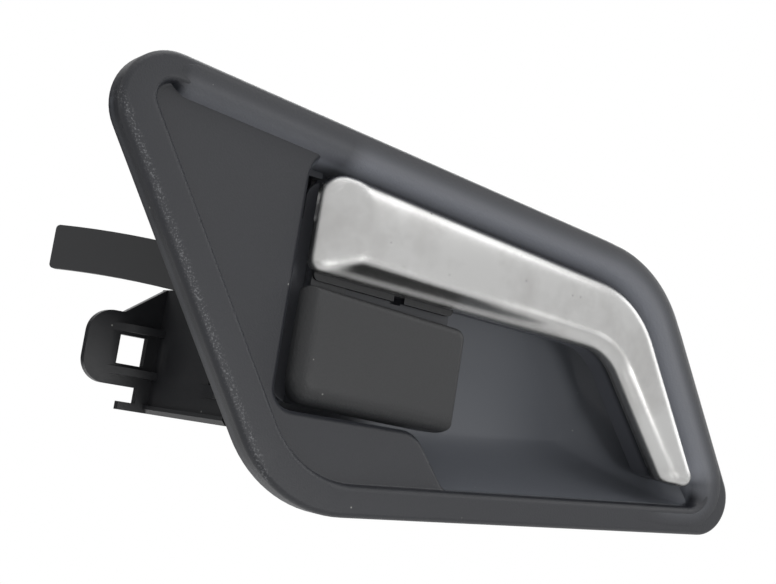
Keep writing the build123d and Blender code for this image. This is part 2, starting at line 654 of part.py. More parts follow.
# Carrier behind the bezel
crank_middle_z = CRANK_BOTTOM + CRANK_THICKNESS / 2
flange_back = REAR_FLANGE + CARRIER_WALL
plate_back = WALL_FRONT + PLATE_THICKNESS
ear_top = UPPER_EAR + EAR_THICKNESS
ear_bottom = LOWER_EAR - EAR_THICKNESS
ledge_top = LEDGE_BOTTOM + LEDGE_THICKNESS
with BuildPart() as carrier:
    with BuildSketch(Plane.XY.offset(LEDGE_BOTTOM)):
        with BuildLine():
            Polyline(
                (wall_x(WALL_FRONT), WALL_FRONT),
                (wall_x(flange_back), flange_back),
                (wall_x(flange_back) + CARRIER_WALL, flange_back),
                (wall_x(WALL_FRONT) + CARRIER_WALL, WALL_FRONT),
                close=True,
            )
        make_face()
    extrude(amount=ear_top - LEDGE_BOTTOM)
    with BuildSketch(Plane.YZ.offset(WALL_REAR_X)):
        with Locations(((WALL_UPPER_REAR + 2 * flange_back) / 2, (FLANGE_TOP + 2 * ear_top) / 2)):
            Rectangle(2 * flange_back - WALL_UPPER_REAR, 2 * ear_top - FLANGE_TOP)
        with Locations(((crank_tip[1] + WALL_UPPER_REAR) / 2, crank_middle_z)):
            Rectangle(WALL_UPPER_REAR - crank_tip[1], CABLE_SLOT)
    extrude(amount=2 * CARRIER_WALL, both=True, mode=Mode.SUBTRACT)
    with BuildSketch(Plane.XY.offset(UPPER_EAR)):
        with Locations(pivot):
            Circle(EAR_RADIUS)
        with Locations((STOP_X, STOP_Y)):
            Circle(STOP_RADIUS)
        with Locations((wall_x(plate_back) + CARRIER_WALL, plate_back)):
            Rectangle(2 * CARRIER_WALL, 2 * PLATE_THICKNESS)
        make_hull()
    extrude(amount=EAR_THICKNESS)
    with BuildSketch(Plane.XY.offset(UPPER_EAR)):
        with Locations((STOP_X, STOP_Y)):
            Circle(STOP_RADIUS)
    extrude(amount=STOP_BOTTOM - UPPER_EAR)
    with BuildSketch(Plane.XY.offset(LOWER_EAR)):
        with Locations(pivot):
            Circle(EAR_RADIUS)
        with Locations((wall_x(plate_back) + CARRIER_WALL, plate_back)):
            Rectangle(2 * CARRIER_WALL, 2 * PLATE_THICKNESS)
        make_hull()
    extrude(amount=-EAR_THICKNESS)
    with Locations((PIVOT_X, PIVOT_Y, (ear_top + ear_bottom) / 2)):
        Cylinder(PIN_RADIUS, ear_top - ear_bottom, mode=Mode.SUBTRACT)
    with BuildSketch(Plane.XY.offset(LEDGE_BOTTOM)):
        with BuildLine():
            Polyline(
                (wall_x(flange_back), flange_back),
                (wall_x(LEDGE_FRONT), LEDGE_FRONT),
                (OPENING_LEFT, LEDGE_FRONT),
                (OPENING_LEFT, TAB_FRONT),
                (TAB_RIGHT, TAB_FRONT),
                (TAB_RIGHT, plate_back + PLATE_THICKNESS),
                (FLANGE_RIGHT, WALL_UPPER_REAR),
                (FLANGE_RIGHT, flange_back),
                close=True,
            )
        make_face()
    extrude(amount=LEDGE_THICKNESS)
    bead_start = Vector(wall_x(LEDGE_FRONT), LEDGE_FRONT, LEDGE_BOTTOM)
    bead_run = Vector(wall_x(flange_back), flange_back, LEDGE_BOTTOM) - bead_start
    with BuildSketch(Plane(origin=bead_start, x_dir=(-bead_run.Y, bead_run.X, 0), z_dir=bead_run)):
        with BuildLine():
            Polyline(
                (-LEDGE_PROUD, 0),
                (LEDGE_PROUD - LEDGE_BEVEL, 0),
                (LEDGE_PROUD, LEDGE_BEVEL),
                (LEDGE_PROUD, LEDGE_THICKNESS),
                (-LEDGE_PROUD, LEDGE_THICKNESS),
                close=True,
            )
        make_face()
    extrude(amount=bead_run.length - CARRIER_WALL / 2)
    with BuildSketch(Plane.XY.offset(LEDGE_BOTTOM)):
        with BuildLine():
            Polyline(
                (wall_x(LEDGE_FRONT), LEDGE_FRONT),
                (wall_x(plate_back), plate_back),
                (wall_x(plate_back) + CARRIER_WALL, plate_back),
                (wall_x(LEDGE_FRONT) + CARRIER_WALL, LEDGE_FRONT),
                close=True,
            )
        make_face()
    extrude(amount=ear_bottom - LEDGE_BOTTOM)
    with BuildSketch(front_plane(TAB_FRONT)):
        with Locations(((TAB_LEFT + TAB_RIGHT) / 2, (TAB_BOTTOM + ledge_top) / 2)):
            Rectangle(TAB_RIGHT - TAB_LEFT, ledge_top - TAB_BOTTOM)
    extrude(amount=-PLATE_THICKNESS)
    with BuildSketch(front_plane(WALL_FRONT)):
        with BuildLine():
            Polyline(
                (PLATE_RIGHT, PLATE_BOTTOM),
                (PLATE_LEFT_BOTTOM, PLATE_BOTTOM),
                (PLATE_LEFT_TOP, PLATE_SHOULDER),
                (PLATE_LEFT_TOP, PLATE_TOP),
                (PLATE_RIGHT, PLATE_TOP),
                close=True,
            )
        make_face()
    extrude(amount=-PLATE_THICKNESS)
    with BuildSketch(front_plane(REAR_FLANGE)):
        rounded_face(
            [
                (FLANGE_RIGHT, LEDGE_BOTTOM),
                (FLANGE_LEFT, LEDGE_BOTTOM),
                (FLANGE_LEFT, LUG_BOTTOM),
                (LUG_LEFT, LUG_BOTTOM),
                (LUG_LEFT, LUG_TOP),
                (LUG_HOLE_X - LUG_HOLE / 2, LUG_TOP),
                (WALL_REAR_X, FLANGE_TOP),
                (FLANGE_RIGHT, FLANGE_TOP),
            ],
            [0, 0, 0, LUG_ROUND, LUG_ROUND, 0, 0, 0],
        )
        with Locations((LUG_HOLE_X, LUG_HOLE_Z)):
            Rectangle(LUG_HOLE, LUG_HOLE, mode=Mode.SUBTRACT)
    extrude(amount=-CARRIER_WALL)
    rib_rise = (LUG_HOLE + LUG_RIB_WIDTH) / 2 + LUG_RIB_GAP
    rib_left = WALL_REAR_X - LUG_RIB_LENGTH
    for rib_z in (LUG_HOLE_Z + rib_rise, LUG_HOLE_Z - rib_rise):
        with BuildSketch(Plane.XY.offset(rib_z - LUG_RIB_WIDTH / 2)):
            with BuildLine():
                Polyline(
                    (rib_left, REAR_FLANGE + CARRIER_WALL / 2),
                    (rib_left, REAR_FLANGE),
                    (rib_left + LUG_RIB_RAMP, REAR_FLANGE - LUG_RIB_HEIGHT),
                    (WALL_REAR_X + CARRIER_WALL / 2, REAR_FLANGE - LUG_RIB_HEIGHT),
                    (WALL_REAR_X + CARRIER_WALL / 2, REAR_FLANGE + CARRIER_WALL / 2),
                    close=True,
                )
            make_face()
        extrude(amount=LUG_RIB_WIDTH)
    with BuildSketch(Plane.XY.offset(LEDGE_BOTTOM)):
        with Locations((FLANGE_LEFT - LEDGE_LIP / 2 + CARRIER_WALL / 2, REAR_FLANGE + CARRIER_WALL / 2)):
            Rectangle(LEDGE_LIP + CARRIER_WALL, CARRIER_WALL)
    extrude(amount=LEDGE_THICKNESS)
    strap_root = Vector(STRAP_ROOT_X, (WALL_FRONT + plate_back) / 2)
    strap_run = Vector(*STRAP_TIP) - strap_root
    strap_face = Plane(origin=strap_root, x_dir=strap_run, z_dir=(strap_run.Y, -strap_run.X, 0))
    strap_middle = (STRAP_ROOT_BOTTOM + STRAP_TIP_BOTTOM) / 2 + STRAP_BOW
    with BuildSketch(strap_face) as strap:
        with BuildLine():
            below = ThreePointArc(
                (0, STRAP_ROOT_BOTTOM),
                (strap_run.length / 2, strap_middle),
                (strap_run.length, STRAP_TIP_BOTTOM),
            )
            above = ThreePointArc(
                (0, STRAP_ROOT_BOTTOM + STRAP_WIDTH),
                (strap_run.length / 2, strap_middle + STRAP_WIDTH),
                (strap_run.length, STRAP_TIP_BOTTOM + STRAP_WIDTH),
            )
            Line(below @ 0, above @ 0)
            Line(below @ 1, above @ 1)
        make_face()
        fillet(strap.vertices().sort_by(Axis.X)[-2:], STRAP_CORNER)
    extrude(amount=STRAP_THICKNESS / 2, both=True)
    with BuildSketch(front_plane(0)):
        with Locations(UPPER_TOWER, LOWER_TOWER, LOBE_TOWER):
            Circle(SCREW_HOLE)
    extrude(amount=-2 * plate_back, mode=Mode.SUBTRACT)
    wall_inner = Plane(
        origin=(wall_x(BUFFER_Y) + CARRIER_WALL, BUFFER_Y, crank_middle_z),
        x_dir=(0, 0, 1),
        z_dir=Vector(1, WALL_LEAN, 0).normalized(),
    )
    with BuildSketch(wall_inner):
        Circle(BUFFER_STEM)
    extrude(amount=-2 * CARRIER_WALL, mode=Mode.SUBTRACT)
carrier.part.label = "carrier"

# Pivot pin, headed above and pressed into both ears
with BuildPart() as pivot_pin:
    with BuildSketch(Plane.XY.offset(ear_bottom)):
        with Locations(pivot):
            Circle(PIN_RADIUS)
    extrude(amount=ear_top - ear_bottom)
    with BuildSketch(Plane.XY.offset(ear_top)):
        with Locations(pivot):
            Circle(PIN_HEAD_RADIUS)
    extrude(amount=PIN_HEAD)
    fillet(pivot_pin.edges().filter_by(GeomType.CIRCLE).sort_by(Axis.Z)[-1], PIN_HEAD / 2)
pivot_pin.part.label = "pivot_pin"

# Return spring, wound round the pin between the two halves of the hub
with BuildPart() as coil_form:
    with BuildLine() as wire:
        coil = Helix(pitch=SPRING_PITCH, height=spring_height, radius=SPRING_MEAN_RADIUS)
        Line((coil @ 0) - (coil % 0) * SPRING_FIXED_LEG, coil @ 0)
        Line(coil @ 1, (coil @ 1) + (coil % 1) * SPRING_MOVING_LEG)
    wire_line = wire.wires()[0]
    with BuildSketch(Plane(origin=wire_line @ 0, z_dir=wire_line % 0)):
        Circle(SPRING_WIRE)
    sweep(path=wire_line, is_frenet=True)

with BuildPart() as return_spring:
    with Locations(Location((PIVOT_X, PIVOT_Y, SPRING_BOTTOM), (0, 0, SPRING_START))):
        add(coil_form.part)
return_spring.part.label = "return_spring"

# Rubber buffer that the crank closes against
with BuildPart() as closing_buffer:
    with BuildSketch(wall_inner):
        Circle(BUFFER_RADIUS)
    extrude(amount=BUFFER_HEAD)
    fillet(closing_buffer.faces().sort_by(Axis.X)[-1].edges(), BUFFER_HEAD / 3)
    with BuildSketch(wall_inner):
        Circle(BUFFER_STEM)
    extrude(amount=-CARRIER_WALL - BUFFER_BULB)
    with BuildSketch(wall_inner.offset(-CARRIER_WALL)):
        Circle(BUFFER_STEM + BUFFER_BULB / 2)
    extrude(amount=-BUFFER_BULB)
closing_buffer.part.label = "closing_buffer"

# Three identical screws, driven in from behind
with BuildPart() as carrier_screws:
    for place, depth in tower_depths.items():
        seat = depth + PLATE_THICKNESS
        with BuildSketch(front_plane(seat)):
            with Locations(place):
                Circle(SCREW_RADIUS)
        extrude(amount=SCREW_LENGTH)
        with BuildSketch(front_plane(seat)):
            with Locations(place):
                Circle(SCREW_HEAD_RADIUS)
        extrude(amount=-SCREW_HEAD)
        with BuildSketch(front_plane(seat + SCREW_HEAD)):
            with Locations(place):
                Rectangle(SCREW_HEAD_RADIUS, SCREW_RECESS)
                Rectangle(SCREW_RECESS, SCREW_HEAD_RADIUS)
        extrude(amount=SCREW_HEAD / 2, mode=Mode.SUBTRACT)
carrier_screws.part.label = "carrier_screws"

os.makedirs("parts", exist_ok=True)
for piece in (
    bezel,
    carrier,
    handle_cover,
    lever_core,
    pivot_pin,
    return_spring,
    closing_buffer,
    carrier_screws,
):
    export_step(piece.part, f"parts/{piece.part.label}.step")
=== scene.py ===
import logging
import math
from dataclasses import dataclass
from enum import Enum
from typing import Dict, List, Optional, Tuple

import bmesh
import bpy
from mathutils import Matrix, Vector


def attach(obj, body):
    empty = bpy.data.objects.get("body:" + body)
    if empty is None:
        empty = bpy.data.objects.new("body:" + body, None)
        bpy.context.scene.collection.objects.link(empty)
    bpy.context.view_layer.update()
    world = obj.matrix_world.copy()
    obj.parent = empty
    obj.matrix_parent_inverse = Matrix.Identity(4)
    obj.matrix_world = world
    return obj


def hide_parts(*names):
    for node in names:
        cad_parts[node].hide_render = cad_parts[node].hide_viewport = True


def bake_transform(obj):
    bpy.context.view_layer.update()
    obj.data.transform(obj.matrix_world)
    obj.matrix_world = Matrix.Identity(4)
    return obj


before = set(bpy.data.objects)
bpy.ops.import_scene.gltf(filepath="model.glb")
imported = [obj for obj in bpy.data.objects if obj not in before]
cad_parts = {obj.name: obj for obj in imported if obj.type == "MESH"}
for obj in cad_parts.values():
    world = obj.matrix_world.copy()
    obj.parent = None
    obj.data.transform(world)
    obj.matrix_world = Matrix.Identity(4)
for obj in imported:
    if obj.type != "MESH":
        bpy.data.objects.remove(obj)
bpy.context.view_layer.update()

MM = 0.001
PHOTO_WIDTH_PX = 776
# Attribute on a shape's corners that says how much painted light lightens it there
PAINTED_LIGHT = "painted_light"

log = logging.getLogger("door_handle")

Tree = bpy.types.NodeTree
Socket = bpy.types.NodeSocket
Material = bpy.types.Material
Shape = bmesh.types.BMesh
Colour = Tuple[float, float, float, float]
Pair = Tuple[float, float]
Point = Tuple[float, float, float]


class Body(Enum):
    """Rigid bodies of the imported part."""

    FRAME = "frame"
    LEVER = "lever"


class Slot(Enum):
    """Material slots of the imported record."""

    GRAINED_PLASTIC = "grained_black_plastic"
    SMOOTH_PLASTIC = "smooth_black_plastic"
    LEVER_PLASTIC = "lever_black_plastic"
    CHROME = "satin_chrome"
    ZINC = "zinc_steel"
    SPRING = "spring_steel"
    RUBBER = "black_rubber"


def linear(hex_colour: str) -> Colour:
    """Turns an sRGB hex colour into the linear colour that shader sockets take.

    Args:
        hex_colour: six hex digits after a hash sign.

    Returns:
        Linear red, green, blue and an alpha of 1.
    """
    channels = [int(hex_colour[i : i + 2], 16) / 255 for i in (1, 3, 5)]
    curve = [c / 12.92 if c <= 0.04045 else ((c + 0.055) / 1.055) ** 2.4 for c in channels]
    return (curve[0], curve[1], curve[2], 1.0)


def shaded(colour: Colour, gain: float) -> Colour:
    """The same linear colour, lighter or darker by a factor."""
    return (colour[0] * gain, colour[1] * gain, colour[2] * gain, 1.0)


def per_mm(size_mm: float) -> float:
    """Scale of a texture whose cells are to be this many millimetres wide."""
    return 1.0 / (size_mm * MM)


def around(middle: float, spread: float) -> Dict[str, float]:
    """Range that a mapped pattern takes on both sides of a middle value."""
    return {"To Min": middle - spread, "To Max": middle + spread}


def eased(share: float) -> float:
    """Share of a rise, held between 0 and 1 and eased at both ends."""
    held = max(0.0, min(1.0, share))
    return held * held * (3 - 2 * held)


def add_node(
    tree: Tree,
    kind: str,
    settings: Optional[Dict[str, object]] = None,
    values: Optional[Dict[object, object]] = None,
    links: Optional[Dict[object, Socket]] = None,
) -> bpy.types.Node:
    """Adds a node with its settings, the values of its sockets and its incoming links.

    Args:
        tree: node tree of a material, a world or a modifier.
        kind: Blender's name of the node's class.
        settings: attributes of the node itself.
        values: default values by input name or number.
        links: output sockets by the input name or number that they feed.

    Returns:
        The new node.
    """
    node = tree.nodes.new(kind)
    for name, value in (settings or {}).items():
        setattr(node, name, value)
    for key, value in (values or {}).items():
        node.inputs[key].default_value = value
    for key, socket in (links or {}).items():
        tree.links.new(socket, node.inputs[key])
    return node


def layered(tree: Tree, base: Colour, layers: List[Tuple[Socket, Colour]]) -> Socket:
    """Lays colours over a base colour, each where its mask says.

    Args:
        tree: the material's tree.
        base: colour of the bare surface.
        layers: masks and their colours, from the lowest up.

    Returns:
        The colour socket for the shader.
    """
    below = None
    for mask, colour in layers:
        mix = add_node(tree, "ShaderNodeMix", {"data_type": "RGBA"}, {6: base, 7: colour}, {0: mask})
        if below:
            tree.links.new(below, mix.inputs[6])
        below = mix.outputs[2]
    return below


def new_material(name: str) -> Tuple[Material, Tree]:
    """Makes an empty node material.

    Args:
        name: name of the real material.

    Returns:
        The material and its cleared node tree.
    """
    material = bpy.data.materials.new(name)
    material.use_nodes = True
    material.node_tree.nodes.clear()
    return material, material.node_tree


def end_material(
    tree: Tree, values: Dict[object, object], links: Optional[Dict[object, Socket]] = None
) -> None:
    """Ends a material with its shader and its output.

    Args:
        tree: the material's tree.
        values: the shader's constants by input name.
        links: output sockets by the shader's input that they feed.
    """
    shader = add_node(tree, "ShaderNodeBsdfPrincipled", values=values, links=links)
    add_node(tree, "ShaderNodeOutputMaterial", links={"Surface": shader.outputs[0]})


def new_object(name: str, data: bpy.types.ID) -> bpy.types.Object:
    """Puts a mesh, curve, light or camera into the scene.

    Args:
        name: name of the object.
        data: its mesh or other data.

    Returns:
        The linked object at the origin.
    """
    made = bpy.data.objects.new(name, data)
    bpy.context.scene.collection.objects.link(made)
    return made


def new_tree(name: str, inputs: Dict[str, str], output: str) -> Tuple[Tree, bpy.types.Node]:
    """Starts a Geometry Nodes tree with named inputs and one shape as its output.

    Args:
        name: name of the tree.
        inputs: kinds of the input sockets by their names.
        output: name of the output.

    Returns:
        The tree and the node that gives its inputs.
    """
    tree = bpy.data.node_groups.new(name, "GeometryNodeTree")
    for socket, kind in inputs.items():
        tree.interface.new_socket(name=socket, in_out="INPUT", socket_type=kind)
    tree.interface.new_socket(name=output, in_out="OUTPUT", socket_type="NodeSocketGeometry")
    return tree, add_node(tree, "NodeGroupInput")


def end_tree(tree: Tree, shape: Socket, finish: Socket) -> None:
    """Ends a Geometry Nodes tree with a real mesh in its finish.

    Args:
        tree: the tree.
        shape: the shape that the tree has made.
        finish: the material that it takes.
    """
    real = add_node(tree, "GeometryNodeRealizeInstances", links={"Geometry": shape})
    dressed = add_node(
        tree,
        "GeometryNodeSetMaterial",
        links={"Geometry": real.outputs[0], "Material": finish},
    )
    add_node(tree, "NodeGroupOutput", links={0: dressed.outputs[0]})


@dataclass(frozen=True)
class Specks:
    """Fine dots strewn over a surface, such as dust or pits: some cells of a grid hold one."""

    colour: str
    spacing_mm: float
    radius_mm: float
    share: float
    strength: float = 0.8
    # Share of a dot's radius where it begins to fade
    core_share: float = 0.5

    def mask(self, tree: Tree, place: Socket) -> Socket:
        """Adds the nodes that find the dots.

        Args:
            tree: the material's tree.
            place: Object coordinates.

        Returns:
            A socket that is 0 between the dots and up to the strength on them.
        """
        cells = add_node(
            tree,
            "ShaderNodeTexVoronoi",
            values={"Scale": per_mm(self.spacing_mm), "Randomness": 1.0},
            links={"Vector": place},
        )
        edge = self.radius_mm / self.spacing_mm
        near = add_node(
            tree,
            "ShaderNodeMapRange",
            values={"From Min": edge * self.core_share, "From Max": edge, "To Min": 1, "To Max": 0},
            links={"Value": cells.outputs["Distance"]},
        )
        pick = add_node(tree, "ShaderNodeSeparateColor", links={"Color": cells.outputs["Color"]})
        some = add_node(
            tree,
            "ShaderNodeMapRange",
            values={"From Min": 1 - self.share, "From Max": 1, "To Min": 0, "To Max": self.strength},
            links={"Value": pick.outputs["Red"]},
        )
        return add_node(
            tree,
            "ShaderNodeMath",
            {"operation": "MULTIPLY"},
            links={0: near.outputs[0], 1: some.outputs[0]},
        ).outputs[0]


@dataclass(frozen=True)
class WearAndHighlight:
    """Stretch of an edge where the peaks of the grain are paler: partly wear from handling, partly a
    painted highlight along the crest.

    The edge is the straight line through two points seen from the front, X and Z in millimetres.
    """

    start_mm: Pair
    end_mm: Pair
    inset_mm: float
    width_mm: float
    speck_mm: float
    colour: str
    # Heights of the grain, from 0 to 1, between which the paler tone sets in
    peak_range: Pair = (0.52, 0.68)

    def mask(self, tree: Tree, place: Socket) -> Socket:
        """Adds the nodes that find the pale peaks.

        Args:
            tree: the material's tree.
            place: Object coordinates.

        Returns:
            A socket that is 0 away from the edge and up to 1 on the rubbed peaks.
        """
        run = Vector(self.end_mm) - Vector(self.start_mm)
        inward = Vector((-run.y, run.x)).normalized()
        origin = (self.start_mm[0] * MM, 0.0, self.start_mm[1] * MM)
        offset = add_node(
            tree, "ShaderNodeVectorMath", {"operation": "SUBTRACT"}, {1: origin}, {0: place}
        )
        depth = add_node(
            tree,
            "ShaderNodeVectorMath",
            {"operation": "DOT_PRODUCT"},
            {1: (inward.x, 0.0, inward.y)},
            {0: offset.outputs["Vector"]},
        )
        away = add_node(
            tree,
            "ShaderNodeMath",
            {"operation": "SUBTRACT"},
            {1: self.inset_mm * MM},
            {0: depth.outputs["Value"]},
        )
        distance = add_node(tree, "ShaderNodeMath", {"operation": "ABSOLUTE"}, links={0: away.outputs[0]})
        band = add_node(
            tree,
            "ShaderNodeMapRange",
            {"interpolation_type": "SMOOTHSTEP"},
            {"From Min": 0.0, "From Max": self.width_mm * MM, "To Min": 1.0, "To Max": 0.0},
            {"Value": distance.outputs[0]},
        )
        peaks = add_node(
            tree,
            "ShaderNodeTexNoise",
            values={"Scale": per_mm(self.speck_mm), "Detail": 2.0, "Roughness": 0.6},
            links={"Vector": place},
        )
        low, top = self.peak_range
        high = add_node(
            tree,
            "ShaderNodeMapRange",
            values={"From Min": low, "From Max": top, "To Min": 0.0, "To Max": 1.0},
            links={"Value": peaks.outputs["Fac"]},
        )
        return add_node(
            tree,
            "ShaderNodeMath",
            {"operation": "MULTIPLY"},
            links={0: band.outputs[0], 1: high.outputs[0]},
        ).outputs[0]


@dataclass(frozen=True)
class MouldedPlastic:
    """Injection moulded black plastic with a spark eroded grain.

    The grain scatters the highlights, so a flat face looks softly speckled. Where the tool was
    polished, deeper than the fade, the grain gives way to a smooth satin, whose tone is painted
    light where it is lighter than the plastic; a shape's attribute can lay on more painted light.
    Stray dust shows on the black as pale pin points.
    """

    name: str
    colour: str
    roughness: float
    grain_mm: float
    grain_height_mm: float
    # Depths between which the grain gives way to the polished tool, and what is left of it there
    fade_mm: Optional[Pair] = None
    smooth_share: float = 0.2
    # Tone of the polished faces; where it is lighter than the plastic it is painted light
    polished_lit_tone: str = "#17181b"
    # Without its flanks, only faces turned to the front by this much of their normal are polished, so the
    # polished tone's painted light stays off faces turned away
    flanks: bool = False
    front_turn: float = -0.06
    # Painted light: a pale tone laid on where the shape's corners carry the attribute for it
    painted_light: Optional[str] = None
    # Dust and lint, drawn larger than they are to show
    dust: Specks = Specks("#b4b4b0", spacing_mm=3.4, radius_mm=0.24, share=0.16)
    # Pale crest: partly wear, partly painted highlight
    wear_and_highlight: Optional[WearAndHighlight] = None
    cloud_mm: float = 14.0
    cloud_gain: float = 1.3
    sheen_spread: float = 0.06

    def build(self) -> Material:
        """Builds the material.

        Returns:
            A material whose grain, dust and wear follow Object coordinates.
        """
        material, tree = new_material(self.name)
        place = add_node(tree, "ShaderNodeTexCoord").outputs["Object"]
        cells = add_node(
            tree,
            "ShaderNodeTexNoise",
            values={"Scale": per_mm(self.grain_mm), "Detail": 2.0, "Roughness": 0.55},
            links={"Vector": place},
        )
        polish = self._polish(tree, place) if self.fade_mm else None
        height = cells.outputs["Fac"]
        if polish:
            left = add_node(
                tree,
                "ShaderNodeMapRange",
                values={"To Min": 1.0, "To Max": self.smooth_share},
                links={"Value": polish},
            )
            height = add_node(
                tree, "ShaderNodeMath", {"operation": "MULTIPLY"}, links={0: height, 1: left.outputs[0]}
            ).outputs[0]
        bump = add_node(
            tree,
            "ShaderNodeBump",
            values={"Strength": 1.0, "Distance": self.grain_height_mm * MM},
            links={"Height": height},
        )
        sheen = add_node(
            tree,
            "ShaderNodeMapRange",
            values=around(self.roughness, self.sheen_spread),
            links={"Value": cells.outputs["Fac"]},
        )
        end_material(
            tree,
            {"Metallic": 0.0, "IOR": 1.5},
            {
                "Base Color": self._colour(tree, place, polish),
                "Roughness": sheen.outputs[0],
                "Normal": bump.outputs["Normal"],
            },
        )
        return material

    def _polish(self, tree: Tree, place: Socket) -> Socket:
        """Finds where the mould was polished: deeper than the fade, on faces turned to the front.

        Args:
            tree: the material's tree.
            place: Object coordinates.

        Returns:
            A socket that is 0 on the grain and 1 on the polished faces.
        """
        axes = add_node(tree, "ShaderNodeSeparateXYZ", links={"Vector": place})
        deep = add_node(
            tree,
            "ShaderNodeMapRange",
            {"interpolation_type": "SMOOTHSTEP"},
            {"From Min": self.fade_mm[0] * MM, "From Max": self.fade_mm[1] * MM},
            {"Value": axes.outputs["Y"]},
        )
        if self.flanks:
            return deep.outputs[0]
        shape = add_node(tree, "ShaderNodeNewGeometry")
        turned = add_node(tree, "ShaderNodeSeparateXYZ", links={"Vector": shape.outputs["Normal"]})
        front = add_node(
            tree,
            "ShaderNodeMapRange",
            values={"From Min": 0.0, "From Max": self.front_turn},
            links={"Value": turned.outputs["Y"]},
        )
        return add_node(
            tree,
            "ShaderNodeMath",
            {"operation": "MULTIPLY"},
            links={0: deep.outputs[0], 1: front.outputs[0]},
        ).outputs[0]

    def _colour(self, tree: Tree, place: Socket, polish: Optional[Socket]) -> Socket:
        """Adds a slight cloudiness, the polished tone and the attribute's pale tone, both painted light,
        the dust, and the pale crest that is partly wear and partly painted highlight.

        Args:
            tree: the material's tree.
            place: Object coordinates.
            polish: where the mould was polished, which takes the polished tone as painted light.

        Returns:
            The colour socket for the shader.
        """
        base = linear(self.colour)
        cloud = add_node(
            tree,
            "ShaderNodeTexNoise",
            values={"Scale": per_mm(self.cloud_mm), "Detail": 3.0},
            links={"Vector": place},
        )
        layers = [(cloud.outputs["Fac"], shaded(base, self.cloud_gain))]
        if polish:
            # The polished tone, where lighter than the plastic, is painted light
            layers.append((polish, linear(self.polished_lit_tone)))
        # Painted light: a pale tone where the shape's corners ask for it
        if self.painted_light:
            light_share = add_node(tree, "ShaderNodeAttribute", {"attribute_name": PAINTED_LIGHT})
            layers.append((light_share.outputs["Fac"], linear(self.painted_light)))
        layers.append((self.dust.mask(tree, place), linear(self.dust.colour)))
        # Pale crest: partly wear, partly painted highlight
        if self.wear_and_highlight:
            layers.append((self.wear_and_highlight.mask(tree, place), linear(self.wear_and_highlight.colour)))
        return layered(tree, base, layers)


@dataclass(frozen=True)
class SatinChrome:
    """Satin chrome plated over moulded plastic.

    The plating mirrors the room softly and rounds every crease, with a faint waviness from the
    moulding and a few dark pits. Edges that look up carry a darker painted reflection.
    """

    name: str
    colour: str
    roughness: float
    crease_round_mm: float = 3.0
    crease_samples: int = 8
    wave_mm: float = 9.0
    wave_height_mm: float = 0.006
    blur_spread: float = 0.03
    # Dull patches: their size, colour, strongest share and the noise between which they set in
    cloud_mm: float = 16.0
    cloud_colour: str = "#8e8c8a"
    cloud_share: float = 0.4
    cloud_range: Pair = (0.45, 0.7)
    # Pits in the plating, drawn larger than they are to show
    pits: Specks = Specks("#3c3b3a", spacing_mm=2.2, radius_mm=0.26, share=0.18)
    # Painted reflection: an edge that looks up by this much of its normal is painted darker, as the black
    # slope above it would show in it
    painted_reflection_colour: str = "#58595d"
    reflection_turn: Pair = (0.2, 0.65)
    # A film of grime takes a little from the metal's mirror
    metal_share: float = 0.93

    def build(self) -> Material:
        """Builds the material.

        Returns:
            A metal whose waviness and pits follow Object coordinates.
        """
        material, tree = new_material(self.name)
        place = add_node(tree, "ShaderNodeTexCoord").outputs["Object"]
        wave = add_node(
            tree,
            "ShaderNodeTexNoise",
            values={"Scale": per_mm(self.wave_mm), "Detail": 1.0},
            links={"Vector": place},
        )
        rounded = add_node(
            tree,
            "ShaderNodeBevel",
            {"samples": self.crease_samples},
            {"Radius": self.crease_round_mm * MM},
        )
        bump = add_node(
            tree,
            "ShaderNodeBump",
            values={"Strength": 1.0, "Distance": self.wave_height_mm * MM},
            links={"Height": wave.outputs["Fac"], "Normal": rounded.outputs["Normal"]},
        )
        layers = [
            (self._dulled(tree, place), linear(self.cloud_colour)),
            (self.pits.mask(tree, place), linear(self.pits.colour)),
            # Painted reflection of the black slope on edges that look up
            (self._painted_reflection(tree), linear(self.painted_reflection_colour)),
        ]
        blur = add_node(
            tree,
            "ShaderNodeMapRange",
            values=around(self.roughness, self.blur_spread),
            links={"Value": wave.outputs["Fac"]},
        )
        end_material(
            tree,
            {"Metallic": self.metal_share},
            {
                "Base Color": layered(tree, linear(self.colour), layers),
                "Roughness": blur.outputs[0],
                "Normal": bump.outputs["Normal"],
            },
        )
        return material

    def _dulled(self, tree: Tree, place: Socket) -> Socket:
        """Finds the patches that handling has dulled.

        Args:
            tree: the material's tree.
            place: Object coordinates.

        Returns:
            A socket that is 0 on clean plating and up to the clouds' share on dull patches.
        """
        cloud = add_node(
            tree,
            "ShaderNodeTexNoise",
            values={"Scale": per_mm(self.cloud_mm), "Detail": 4.0, "Roughness": 0.6},
            links={"Vector": place},
        )
        low, high = self.cloud_range
        return add_node(
            tree,
            "ShaderNodeMapRange",
            values={"From Min": low, "From Max": high, "To Min": 0.0, "To Max": self.cloud_share},
            links={"Value": cloud.outputs["Fac"]},
        ).outputs[0]

    def _painted_reflection(self, tree: Tree) -> Socket:
        """Finds the edge that looks up, which takes a darker painted reflection of the black slope.

        Args:
            tree: the material's tree.

        Returns:
            A socket that is 1 on that edge and 0 on faces turned elsewhere.
        """
        shape = add_node(tree, "ShaderNodeNewGeometry")
        turned = add_node(tree, "ShaderNodeSeparateXYZ", links={"Vector": shape.outputs["Normal"]})
        low, high = self.reflection_turn
        return add_node(
            tree,
            "ShaderNodeMapRange",
            {"interpolation_type": "SMOOTHSTEP"},
            {"From Min": low, "From Max": high},
            {"Value": turned.outputs["Z"]},
        ).outputs[0]


